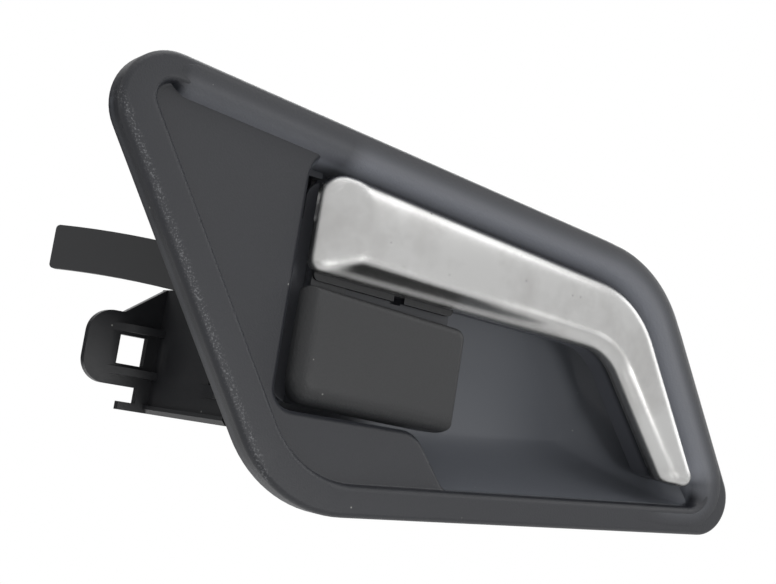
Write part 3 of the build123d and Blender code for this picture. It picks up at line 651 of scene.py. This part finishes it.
@dataclass(frozen=True)
class PlatedSteel:
    """Steel with a thin zinc or oil finish: grey metal with a soft cloudy gloss."""

    name: str
    colour: str
    roughness: float
    cloud_mm: float = 1.5
    cloud_gain: float = 0.75
    blur_spread: float = 0.08

    def build(self) -> Material:
        """Builds the material.

        Returns:
            A metal whose gloss clouds over at the size of its plating crystals.
        """
        material, tree = new_material(self.name)
        base = linear(self.colour)
        place = add_node(tree, "ShaderNodeTexCoord").outputs["Object"]
        cloud = add_node(
            tree,
            "ShaderNodeTexNoise",
            values={"Scale": per_mm(self.cloud_mm), "Detail": 3.0},
            links={"Vector": place},
        )
        tone = layered(tree, base, [(cloud.outputs["Fac"], shaded(base, self.cloud_gain))])
        blur = add_node(
            tree,
            "ShaderNodeMapRange",
            values=around(self.roughness, self.blur_spread),
            links={"Value": cloud.outputs["Fac"]},
        )
        end_material(tree, {"Metallic": 1.0}, {"Base Color": tone, "Roughness": blur.outputs[0]})
        return material


@dataclass
class SubAssembly:
    """Pieces that are made and dressed together."""

    crease_deg: float = 32.0
    weld_mm: float = 0.002

    def welded(self, node: str) -> Shape:
        """Copies a CAD node's loose triangles and joins them.

        Args:
            node: name of the CAD node.

        Returns:
            A new shape with shared corners.
        """
        shape = bmesh.new()
        shape.from_mesh(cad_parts[node].data)
        bmesh.ops.remove_doubles(shape, verts=shape.verts, dist=self.weld_mm * MM)
        return shape

    def skin(self, node: str, body: Body, slot: Slot, material: Material) -> None:
        """Stands a welded copy of a CAD node in for it, so that its curved faces shade smoothly.

        Args:
            node: name of the CAD node.
            body: body that it rides on.
            slot: slot of the record, handed on to seat.
            material: its finish.
        """
        shape = self.welded(node)
        self.refine(shape)
        limit = math.radians(self.crease_deg)
        for face in shape.faces:
            face.smooth = True
        for edge in shape.edges:
            edge.smooth = len(edge.link_faces) == 2 and edge.calc_face_angle() < limit
        mesh = bpy.data.meshes.new(f"{node}_look")
        shape.to_mesh(mesh)
        shape.free()
        mesh.materials.append(material)
        piece = new_object(f"{node}_look", mesh)
        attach(piece, body.value)
        self.seat(piece, node, slot)

    def refine(self, shape: Shape) -> None:
        """Adds what a piece's look needs beyond its solid; most pieces need nothing."""

    def seat(self, piece: bpy.types.Object, node: str, slot: Slot) -> None:
        """Hides the CAD node that a finished piece stands in for and logs the piece's faces.

        Args:
            piece: the finished piece.
            node: name of the CAD node.
            slot: not used.
        """
        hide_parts(node)
        log.info("%s: %d faces", piece.name, len(piece.data.polygons))

    def grown(
        self, name: str, source: bpy.types.ID, tree: Tree, settings: Dict[str, object]
    ) -> bpy.types.Object:
        """Runs a Geometry Nodes tree over a source and keeps the result as a plain mesh.

        Args:
            name: name of the piece.
            source: mesh or curve that the tree starts from.
            tree: the tree.
            settings: values of the tree's inputs by their names.

        Returns:
            An object with the finished mesh and no modifier.
        """
        seed = new_object(f"{name}_seed", source)
        modifier = seed.modifiers.new(tree.name, "NODES")
        modifier.node_group = tree
        for item in tree.interface.items_tree:
            if item.in_out == "INPUT" and item.name in settings:
                modifier[item.identifier] = settings[item.name]
        ready = seed.evaluated_get(bpy.context.evaluated_depsgraph_get())
        mesh = bpy.data.meshes.new_from_object(ready)
        mesh.name = name
        bpy.data.objects.remove(seed)
        return new_object(name, mesh)


@dataclass
class Bezel(SubAssembly):
    """Grained moulding with the raised rim, the panel and the polished finger dish, with dish and soft
    roll painted lighter as painted light.
    """

    # ABS, spark eroded to a fine leather-like grain that is drawn coarser than it is to show
    finish: MouldedPlastic = MouldedPlastic(
        "grained_abs",
        "#111319",
        roughness=0.5,
        grain_mm=0.42,
        grain_height_mm=0.055,
        fade_mm=(-2.9, -1.2),
        # Painted light: the polished dish takes a grey far lighter than the black plastic
        polished_lit_tone="#56595f",
        # Painted light on the soft roll: the pale grey that its corners ask for
        painted_light="#94979f",
        # Pale crest of the left rim: partly wear, partly painted highlight
        wear_and_highlight=WearAndHighlight(
            start_mm=(-91.7, 42.5),
            end_mm=(-37.8, -40.5),
            inset_mm=1.6,
            width_mm=1.4,
            speck_mm=0.36,
            colour="#5c5d60",
        ),
    )

    # Edge over the panel, over the bar and right of it, seen from the front: X and Z of its corners
    edge_mm: Tuple[Pair, ...] = ((-73.5, 35.11), (49.79, 22.16), (80.35, -26.67), (45.0, -28.93))
    edge_rounds_mm: Tuple[float, ...] = (24.15, 5.15)
    edge_step_mm: float = 1.5
    # How many times finer the steps are on the edge's arcs
    arc_finer: int = 2
    # Section of the soft roll, as inset from that edge and depth: up to the crest, over it, and down
    # the dish's wall
    roll_mm: Tuple[Pair, ...] = (
        (-5.3, -4.5),
        (-4.9, -5.2),
        (-4.4, -5.48),
        (-3.8, -5.63),
        (-3.1, -5.72),
        (-2.3, -5.74),
        (-1.5, -5.66),
        (-0.8, -5.46),
        (-0.1, -5.1),
        (0.6, -4.55),
        (1.2, -3.85),
        (1.75, -3.0),
        (2.2, -2.0),
        (2.5, -0.9),
        (2.75, 0.4),
        (2.9, 2.0),
        (3.05, 3.6),
        (3.25, 5.2),
        (3.55, 6.8),
    )
    # The roll's hidden back, inside the moulding
    roll_back_mm: Tuple[Pair, ...] = (
        (2.9, 6.2),
        (1.6, 3.0),
        (0.5, 0.0),
        (-0.4, -2.5),
        (-0.8, -4.2),
        (-3.0, -4.6),
    )
    # The crown on the rim ends at this inset and the slope into the dish begins there
    roll_split_mm: float = -1.0
    # How much of the edge's two ends the crown takes to fade in
    crown_tapers_mm: Pair = (5.0, 22.0)
    # How far from the edge's two ends the slope begins, how soon it is deep, and how soon its painted
    # light is full
    slope_ends_mm: Pair = (31.52, 26.0)
    slope_taper_mm: float = 8.0
    light_taper_mm: float = 16.0
    # Where they end, crown and slope sink into the rim: to these insets and depths
    crown_sink_mm: Pair = (-3.2, -5.36)
    slope_sink_mm: Pair = (-0.25, -4.9)
    # Beside the panel the slope stays this shallow, inside the panel's wall
    panel_depth_mm: float = -1.5
    # The painted light grows between these insets, slowly at first, and on the step beside the panel it
    # is thin
    light_insets_mm: Pair = (-4.4, 2.4)
    light_power: float = 1.7
    light_start: float = 0.35
    panel_light: float = 0.62
    # In the lower right corner the dish is rounder, so near it the slope ends higher up
    corner_foot_mm: float = 2.4
    corner_from_end_mm: float = 32.1
    corner_span_mm: Pair = (3.0, 10.0)
    # Web behind the opening's upper left corner, from corner to corner
    web_mm: Tuple[Point, Point] = ((-38.0, 3.8, 26.7), (-33.9, 8.0, 31.0))

    def build(self) -> None:
        """Builds and dresses the bezel."""
        self.skin("bezel", Body.FRAME, Slot.GRAINED_PLASTIC, self.finish.build())

    def refine(self, shape: Shape) -> None:
        """Rolls the rim's upper and right inner edges softly into the panel and the dish, and marks on
        the roll how much painted light each corner takes.

        Args:
            shape: the bezel's shape, which gets the roll and the web as closed shells.
        """
        path = self._edge_points()
        run = [0.0]
        for (here, _), (there, _) in zip(path, path[1:]):
            run.append(run[-1] + (there - here).length)
        # How much painted light each corner of the roll takes
        painted_light = shape.verts.layers.float.new(PAINTED_LIGHT)
        rings = []
        for (point, inward), done in zip(path, run):
            ring = []
            for inset, depth, light_share in self._ring(done, run[-1] - done):
                spot = point + inward * inset
                corner = shape.verts.new(Vector((spot.x, depth, spot.y)) * MM)
                corner[painted_light] = light_share
                ring.append(corner)
            rings.append(ring)
        skin = [shape.faces.new(rings[0]), shape.faces.new(rings[-1])]
        for ring, after in zip(rings, rings[1:]):
            for i in range(len(ring)):
                j = (i + 1) % len(ring)
                skin.append(shape.faces.new((ring[i], ring[j], after[j], after[i])))
        bmesh.ops.recalc_face_normals(shape, faces=skin)
        low, high = (Vector(corner) * MM for corner in self.web_mm)
        middle = Matrix.Translation((low + high) / 2)
        bmesh.ops.create_cube(shape, size=1.0, matrix=middle @ Matrix.Diagonal((*(high - low), 1.0)))

    def _ring(self, done: float, left: float) -> List[Point]:
        """Fits the roll's section to one place along the edge.

        Args:
            done: length of the edge before this place, in millimetres.
            left: length of the edge after it.

        Returns:
            The section's points here, each an inset, a depth and a haze.
        """
        crown = eased(min(done / self.crown_tapers_mm[0], left / self.crown_tapers_mm[1]))
        along = min(done - self.slope_ends_mm[0], left - self.slope_ends_mm[1])
        slope = eased(along / self.slope_taper_mm)
        pale = eased(along / self.light_taper_mm)
        near, far = self.corner_span_mm
        away = eased((abs(left - self.corner_from_end_mm) - near) / (far - near))
        full_foot = self.roll_mm[-1][1]
        foot = self.corner_foot_mm + (full_foot - self.corner_foot_mm) * away
        first, last = self.light_insets_mm
        ring = []
        for inset, depth in (*self.roll_mm, *self.roll_back_mm):
            outer = inset < self.roll_split_mm
            swell = crown if outer or done < left else slope
            low_inset = max(self.crown_sink_mm[0], min(inset, self.slope_sink_mm[0]))
            low_depth = max(depth, self.crown_sink_mm[1] if outer else self.slope_sink_mm[1])
            deep = low_depth + (depth - low_depth) * swell
            beyond = max(0.0, deep - self.panel_depth_mm)
            deep = min(foot, deep, self.panel_depth_mm + beyond * slope)
            # Painted light: paler towards the dish and where crown or slope is full
            part = max(0.0, min(1.0, (inset - first) / (last - first))) ** self.light_power
            rise = max(pale, swell * self.panel_light)
            light_share = eased((rise - self.light_start) / (1 - self.light_start)) * part
            ring.append((low_inset + (inset - low_inset) * swell, deep, light_share))
        return ring

    def _edge_points(self) -> List[Tuple[Vector, Vector]]:
        """Follows the rim's inner edge from the panel's upper left to the foot of the bright leg.

        Returns:
            Points in order, each with the direction away from the rim, in millimetres.
        """
        corners = [Vector(corner) for corner in self.edge_mm]
        runs = [(there - here).normalized() for here, there in zip(corners, corners[1:])]
        into = [Vector((run.y, -run.x)) for run in runs]
        path, here = [], corners[0]
        for i, run in enumerate(runs):
            bends = i < len(self.edge_rounds_mm)
            turn = run.angle(runs[i + 1]) if bends else 0.0
            reach = self.edge_rounds_mm[i] * math.tan(turn / 2) if bends else 0.0
            last = corners[i + 1] - run * reach
            steps = math.ceil((last - here).length / self.edge_step_mm)
            path += [(here.lerp(last, step / steps), into[i]) for step in range(steps + 1)]
            if bends:
                radius = self.edge_rounds_mm[i]
                middle = last + into[i] * radius
                steps = math.ceil(radius * turn / self.edge_step_mm * self.arc_finer)
                for step in range(1, steps):
                    turned = into[i].slerp(into[i + 1], step / steps)
                    path.append((middle - turned * radius, turned))
                here = corners[i + 1] + runs[i + 1] * reach
        return path


@dataclass
class Lever(SubAssembly):
    """Black lever and the bright cover snapped over its arm."""

    # Glass filled polyamide with the same grain, which looks slightly coarser on the small block
    core_finish: MouldedPlastic = MouldedPlastic(
        "grained_polyamide",
        "#131416",
        roughness=0.52,
        grain_mm=0.5,
        grain_height_mm=0.07,
        fade_mm=(-1.5, 1.0),
        # Painted light: the core's faces behind the front take a lighter grey
        polished_lit_tone="#4c4e54",
        flanks=True,
    )
    # Plated chromium reflects a little over half of the light, so white shows in it as light grey
    cover_finish: SatinChrome = SatinChrome("satin_chrome", "#b7b7b6", roughness=0.22)

    def build(self) -> None:
        """Builds and dresses the lever's two pieces."""
        self.skin("lever_core", Body.LEVER, Slot.LEVER_PLASTIC, self.core_finish.build())
        self.skin("handle_cover", Body.LEVER, Slot.CHROME, self.cover_finish.build())


@dataclass
class Carrier(SubAssembly):
    """Bracket behind the bezel with the pivot pin and the rubber buffer."""

    # Smooth moulded polyamide: plain satin black with hardly any grain
    bracket_finish: MouldedPlastic = MouldedPlastic(
        "smooth_polyamide", "#101114", roughness=0.42, grain_mm=0.6, grain_height_mm=0.012
    )
    # Zinc plated steel: pale grey with a cloudy gloss
    pin_finish: PlatedSteel = PlatedSteel("zinc_plated_steel", "#b8b8b5", roughness=0.35)
    # Natural rubber: matt black, it shows no clear reflections
    buffer_finish: MouldedPlastic = MouldedPlastic(
        "moulded_rubber", "#101011", roughness=0.75, grain_mm=0.5, grain_height_mm=0.01
    )

    def build(self) -> None:
        """Builds and dresses the bracket, the pin and the buffer."""
        self.skin("carrier", Body.FRAME, Slot.SMOOTH_PLASTIC, self.bracket_finish.build())
        self.skin("pivot_pin", Body.FRAME, Slot.ZINC, self.pin_finish.build())
        self.skin("closing_buffer", Body.FRAME, Slot.RUBBER, self.buffer_finish.build())


@dataclass
class ReturnSpring(SubAssembly):
    """Torsion spring round the pin: its lower leg stays on the bracket, its upper leg turns."""

    pivot_mm: Pair = (-44.0, 5.5)
    bottom_mm: float = -3.6
    radius_mm: float = 4.0
    wire_radius_mm: float = 0.55
    pitch_mm: float = 1.3
    turns: int = 5
    start_deg: float = 186.0
    exit_deg: float = 278.0
    fixed_leg_mm: float = 11.0
    moving_leg_mm: float = 4.6
    steps_per_turn: int = 32
    wire_sides: int = 12
    # Drawn spring wire, blued by its heat treatment to a darker grey than plated steel
    finish: PlatedSteel = PlatedSteel("drawn_spring_wire", "#8b8c8f", roughness=0.3, cloud_mm=0.8)

    def build(self) -> None:
        """Builds the spring along its wire."""
        material = self.finish.build()
        piece = self.grown(
            "return_spring_look",
            self._wire(),
            self._tree(),
            {
                "Wire Radius": self.wire_radius_mm * MM,
                "Wire Sides": self.wire_sides,
                "Finish": material,
            },
        )
        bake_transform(piece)
        self.seat(piece, "return_spring", Slot.SPRING)

    def _sweep_deg(self) -> float:
        """Angle that the coil winds through."""
        return self.turns * 360 + self.exit_deg - self.start_deg

    def _wire(self) -> bpy.types.Curve:
        """Draws the middle of the wire: a straight leg, the coil and a straight leg.

        Returns:
            A curve of one open poly spline.
        """
        sweep = self._sweep_deg()
        steps = round(sweep / 360 * self.steps_per_turn)
        bottom = Vector((*self.pivot_mm, self.bottom_mm))
        coil = []
        for step in range(steps + 1):
            turned = sweep * step / steps
            angle = math.radians(self.start_deg + turned)
            out = Vector((math.cos(angle), math.sin(angle), 0.0)) * self.radius_mm
            coil.append(bottom + out + Vector((0.0, 0.0, self.pitch_mm * turned / 360)))
        first = (coil[1] - coil[0]).normalized()
        last = (coil[-1] - coil[-2]).normalized()
        points = [coil[0] - first * self.fixed_leg_mm, *coil, coil[-1] + last * self.moving_leg_mm]
        curve = bpy.data.curves.new("spring_wire_line", "CURVE")
        curve.dimensions = "3D"
        spline = curve.splines.new("POLY")
        spline.points.add(len(points) - 1)
        for place, point in zip(spline.points, points):
            place.co = (*(point * MM), 1.0)
        return curve

    def _tree(self) -> Tree:
        """Builds the tree that gives a line the thickness of the wire.

        Returns:
            A tree with the inputs Wire Radius, Wire Sides and Finish.
        """
        inputs = {
            "Line": "NodeSocketGeometry",
            "Wire Radius": "NodeSocketFloat",
            "Wire Sides": "NodeSocketInt",
            "Finish": "NodeSocketMaterial",
        }
        tree, start = new_tree("wire_along_line", inputs, "Wire")
        given = start.outputs
        ring = add_node(
            tree,
            "GeometryNodeCurvePrimitiveCircle",
            links={"Resolution": given["Wire Sides"], "Radius": given["Wire Radius"]},
        )
        tube = add_node(
            tree,
            "GeometryNodeCurveToMesh",
            values={"Fill Caps": True},
            links={"Curve": given["Line"], "Profile Curve": ring.outputs["Curve"]},
        )
        smooth = add_node(tree, "GeometryNodeSetShadeSmooth", links={"Geometry": tube.outputs["Mesh"]})
        end_tree(tree, smooth.outputs[0], given["Finish"])
        return tree


@dataclass
class CarrierScrews(SubAssembly):
    """Three pan head screws with a cross recess, driven in from behind."""

    head_radius_mm: float = 3.1
    head_height_mm: float = 2.2
    head_round_mm: float = 1.1
    core_radius_mm: float = 1.15
    thread_radius_mm: float = 1.5
    thread_pitch_mm: float = 1.0
    length_mm: float = 9.0
    recess_length_mm: float = 3.4
    recess_width_mm: float = 0.7
    recess_depth_mm: float = 1.2
    # Pitches that stay plain at the neck and the tip
    plain_pitches: int = 2
    sides: int = 48
    head_round_steps: int = 6
    # Zinc plated steel screws: pale grey, slightly brighter than the pin
    finish: PlatedSteel = PlatedSteel("zinc_plated_screw", "#bdbdb8", roughness=0.32, cloud_mm=1.2)

    def build(self) -> None:
        """Puts one screw on each place where the frame has one."""
        material = self.finish.build()
        blank = new_object("screw_blank", self._blank())
        piece = self.grown(
            "carrier_screws_look",
            self._places(),
            self._tree(),
            {
                "Blank": blank,
                "Recess Length": self.recess_length_mm * MM,
                "Recess Width": self.recess_width_mm * MM,
                "Recess Depth": self.recess_depth_mm * MM,
                "Finish": material,
            },
        )
        bpy.data.objects.remove(blank)
        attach(piece, Body.FRAME.value)
        self.seat(piece, "carrier_screws", Slot.ZINC)

    def _places(self) -> bpy.types.Mesh:
        """Finds the middle of each screw's head in the frame.

        Returns:
            A mesh of loose points, one on top of each head.
        """
        shape = self.welded("carrier_screws")
        left = set(shape.verts)
        tops = []
        while left:
            island, edge = set(), [left.pop()]
            while edge:
                vert = edge.pop()
                island.add(vert)
                near = {e.other_vert(vert) for e in vert.link_edges} & left
                left -= near
                edge.extend(near)
            xs, ys, zs = zip(*(vert.co for vert in island))
            tops.append(((min(xs) + max(xs)) / 2, max(ys), (min(zs) + max(zs)) / 2))
        shape.free()
        mesh = bpy.data.meshes.new("screw_places")
        mesh.from_pydata(sorted(tops), [], [])
        return mesh

    def _blank(self) -> bpy.types.Mesh:
        """Turns the screw's half section round its axis, top of the head at the origin.

        Returns:
            A closed mesh along -Y, without its recess.
        """
        head, soft = self.head_radius_mm, self.head_round_mm
        section = [(0.0, 0.0)]
        for step in range(self.head_round_steps + 1):
            angle = math.pi / 2 * step / self.head_round_steps
            section.append((head - soft + soft * math.sin(angle), -soft + soft * math.cos(angle)))
        seat = -self.head_height_mm
        section += [(head, seat), (self.core_radius_mm, seat)]
        rise = self.thread_pitch_mm / 2
        for ring in range(int(self.length_mm / self.thread_pitch_mm) - self.plain_pitches):
            top = seat - self.thread_pitch_mm * (ring + 0.5)
            section += [
                (self.core_radius_mm, top),
                (self.thread_radius_mm, top - rise / 2),
                (self.core_radius_mm, top - rise),
            ]
        tip = seat - self.length_mm
        section += [(self.core_radius_mm, tip + self.core_radius_mm), (0.0, tip)]
        shape = bmesh.new()
        verts = [shape.verts.new((r * MM, y * MM, 0.0)) for r, y in section]
        edges = [shape.edges.new(pair) for pair in zip(verts, verts[1:])]
        bmesh.ops.spin(
            shape,
            geom=verts + edges,
            cent=(0, 0, 0),
            axis=(0, 1, 0),
            angle=2 * math.pi,
            steps=self.sides,
        )
        bmesh.ops.remove_doubles(shape, verts=shape.verts, dist=self.weld_mm * MM)
        bmesh.ops.recalc_face_normals(shape, faces=shape.faces)
        mesh = bpy.data.meshes.new("screw_blank")
        shape.to_mesh(mesh)
        shape.free()
        return mesh

    def _tree(self) -> Tree:
        """Builds the tree that cuts the recess and sets a screw on each point.

        Returns:
            A tree with the inputs Blank, Recess Length, Recess Width, Recess Depth and Finish.
        """
        inputs = {
            "Points": "NodeSocketGeometry",
            "Blank": "NodeSocketObject",
            "Recess Length": "NodeSocketFloat",
            "Recess Width": "NodeSocketFloat",
            "Recess Depth": "NodeSocketFloat",
            "Finish": "NodeSocketMaterial",
        }
        tree, start = new_tree("screws_on_points", inputs, "Screws")
        given = start.outputs
        blank = add_node(tree, "GeometryNodeObjectInfo", links={"Object": given["Blank"]})
        # The cutter is centred on the head's top, so it is twice as deep as the recess
        deep = add_node(
            tree, "ShaderNodeMath", {"operation": "MULTIPLY"}, {1: 2.0}, {0: given["Recess Depth"]}
        ).outputs[0]
        cut = add_node(
            tree,
            "GeometryNodeMeshBoolean",
            {"operation": "DIFFERENCE"},
            links={"Mesh 1": blank.outputs["Geometry"]},
        )
        length, width = given["Recess Length"], given["Recess Width"]
        for across, along in ((length, width), (width, length)):
            size = add_node(tree, "ShaderNodeCombineXYZ", links={"X": across, "Y": deep, "Z": along})
            bar = add_node(tree, "GeometryNodeMeshCube", links={"Size": size.outputs[0]})
            tree.links.new(bar.outputs["Mesh"], cut.inputs["Mesh 2"])
        screws = add_node(
            tree,
            "GeometryNodeInstanceOnPoints",
            links={"Points": given["Points"], "Instance": cut.outputs["Mesh"]},
        )
        end_tree(tree, screws.outputs[0], given["Finish"])
        return tree


@dataclass(frozen=True)
class StudioPaper:
    """Matt paper of the studio: an even tone without any gloss."""

    name: str
    colour: str
    roughness: float

    def build(self) -> Material:
        """Builds the material.

        Returns:
            A plain dull material.
        """
        material, tree = new_material(self.name)
        end_material(tree, {"Base Color": linear(self.colour), "Roughness": self.roughness})
        return material

    def sheet(self, name: str, size_m: Pair, level_m: float = 0.0) -> bpy.types.Object:
        """Cuts a flat sheet of this paper.

        Args:
            name: name of the sheet.
            size_m: its width and its height.
            level_m: how high it lies above its own origin.

        Returns:
            The dressed sheet at the origin.
        """
        x, y = (side / 2 for side in size_m)
        mesh = bpy.data.meshes.new(name)
        corners = [(-x, -y, level_m), (x, -y, level_m), (x, y, level_m), (-x, y, level_m)]
        mesh.from_pydata(corners, [], [(0, 1, 2, 3)])
        mesh.materials.append(self.build())
        return new_object(name, mesh)


def direction(azimuth_deg: float, elevation_deg: float) -> Vector:
    """Unit vector towards an azimuth, where 0 is the front and 90 the right, and an elevation."""
    turn, rise = math.radians(azimuth_deg), math.radians(elevation_deg)
    return Vector((math.sin(turn) * math.cos(rise), -math.cos(turn) * math.cos(rise), math.sin(rise)))


def facing_handle(azimuth_deg: float, elevation_deg: float, distance_m: float) -> Matrix:
    """Matrix that puts a thing out in a direction with its -Z towards the handle."""
    spot = direction(azimuth_deg, elevation_deg) * distance_m
    return Matrix.Translation(spot) @ (-spot).to_track_quat("-Z", "Y").to_matrix().to_4x4()


@dataclass
class Camera:
    """Camera at the photograph's place: low, in front and to the left, with a slight roll."""

    target_mm: Point = (-20.0, -5.5, 6.0)
    azimuth_deg: float = -32.0
    elevation_deg: float = -7.0
    roll_deg: float = 9.0
    distance_mm: float = 260.11
    focal_px: float = 1300.0
    sensor_mm: float = 36.0
    clip_m: Pair = (0.01, 50.0)

    def build(self) -> None:
        """Places the camera and makes it the scene's own."""
        back = direction(self.azimuth_deg, self.elevation_deg)
        right = (-back).cross(Vector((0, 0, 1))).normalized()
        up = right.cross(-back)
        roll = math.radians(self.roll_deg)
        level = right * math.cos(roll) + up * math.sin(roll)
        tilted = up * math.cos(roll) - right * math.sin(roll)
        data = bpy.data.cameras.new("photo_camera")
        data.sensor_width = self.sensor_mm
        data.lens = self.focal_px / PHOTO_WIDTH_PX * self.sensor_mm
        data.clip_start, data.clip_end = self.clip_m
        camera = new_object("photo_camera", data)
        turned = Matrix((level, tilted, back)).transposed().to_4x4()
        spot = Vector(self.target_mm) * MM + back * self.distance_mm * MM
        camera.matrix_world = Matrix.Translation(spot) @ turned
        bpy.context.scene.camera = camera


@dataclass(frozen=True)
class SoftBox:
    """A square studio light that faces the handle; its brightness is that of its white cloth."""

    name: str
    azimuth_deg: float
    elevation_deg: float
    distance_m: float
    size_m: float
    brightness: float

    def build(self) -> None:
        """Places the light."""
        data = bpy.data.lights.new(self.name, "AREA")
        data.shape = "SQUARE"
        data.size = self.size_m
        data.energy = self.brightness * math.pi * self.size_m**2
        light = new_object(self.name, data)
        light.matrix_world = facing_handle(self.azimuth_deg, self.elevation_deg, self.distance_m)


@dataclass(frozen=True)
class Card:
    """A dull card out of the picture that the handle mirrors; the camera doesn't show it."""

    name: str
    azimuth_deg: float
    elevation_deg: float
    distance_m: float
    size_m: Pair
    paper: StudioPaper

    def build(self) -> None:
        """Places the card out of the camera's sight."""
        card = self.paper.sheet(self.name, self.size_m)
        card.matrix_world = facing_handle(self.azimuth_deg, self.elevation_deg, self.distance_m)
        card.visible_camera = False


@dataclass
class Studio:
    """White studio: a pale floor well below the handle, soft boxes, a card and a white surround."""

    ambient: float = 0.6
    floor_m: float = 2.4
    floor_drop_m: float = 0.45
    # Pale backdrop paper: nearly white, so the soft shadow stays light
    floor_paper: StudioPaper = StudioPaper("white_paper", "#f4f4f4", 0.8)
    # Azimuth, elevation, distance, size and brightness of each
    boxes: Tuple[SoftBox, ...] = (
        SoftBox("top_box", -10.0, 80.0, 0.9, 0.8, 1.9),
        SoftBox("right_box", 35.0, 34.0, 1.0, 0.45, 2.0),
        SoftBox("side_box", 84.0, 20.0, 0.6, 0.3, 2.2),
        SoftBox("rear_box", 134.0, 42.0, 0.9, 0.6, 5.5),
        SoftBox("ridge_box", 10.0, -12.5, 0.52, 0.13, 10.0),
        SoftBox("strip_box", 38.0, -18.0, 0.6, 0.1, 3.0),
    )
    # Nearly black card behind the handle, a dull patch in the white surround
    card: Card = Card(
        "rear_card",
        azimuth_deg=-148.0,
        elevation_deg=7.0,
        distance_m=0.5,
        size_m=(0.4, 0.4),
        paper=StudioPaper("rear_card_paper", "#1c1c1c", 0.9),
    )

    def build(self) -> None:
        """Builds the world, the floor, the lights and the card."""
        self._world()
        self._floor()
        for thing in (*self.boxes, self.card):
            thing.build()

    def _world(self) -> None:
        """White to the camera and in reflections, softer as a fill light."""
        world = bpy.data.worlds.new("white_surround")
        world.use_nodes = True
        tree = world.node_tree
        tree.nodes.clear()
        ray = add_node(tree, "ShaderNodeLightPath")
        seen = add_node(
            tree,
            "ShaderNodeMath",
            {"operation": "MAXIMUM"},
            links={0: ray.outputs["Is Camera Ray"], 1: ray.outputs["Is Glossy Ray"]},
        )
        shown = add_node(
            tree,
            "ShaderNodeMath",
            {"operation": "MAXIMUM"},
            links={0: seen.outputs[0], 1: ray.outputs["Is Transmission Ray"]},
        )
        fill = add_node(
            tree, "ShaderNodeBackground", values={"Color": (1, 1, 1, 1), "Strength": self.ambient}
        )
        white = add_node(
            tree, "ShaderNodeBackground", values={"Color": (1, 1, 1, 1), "Strength": 1.0}
        )
        mix = add_node(
            tree,
            "ShaderNodeMixShader",
            links={0: shown.outputs[0], 1: fill.outputs[0], 2: white.outputs[0]},
        )
        add_node(tree, "ShaderNodeOutputWorld", links={"Surface": mix.outputs[0]})
        bpy.context.scene.world = world

    def _floor(self) -> None:
        """A pale sheet below the handle that takes its soft shadow."""
        floor = self.floor_paper.sheet("studio_floor", (self.floor_m, self.floor_m), -self.floor_drop_m)


def main() -> None:
    """Builds the handle piece by piece, then its studio and the camera."""
    logging.basicConfig(level=logging.INFO, format="%(name)s: %(message)s")
    bpy.context.scene.view_settings.view_transform = "Standard"
    for part in (Bezel(), Carrier(), Lever(), ReturnSpring(), CarrierScrews(), Studio(), Camera()):
        part.build()


if __name__ == "__main__":
    main()
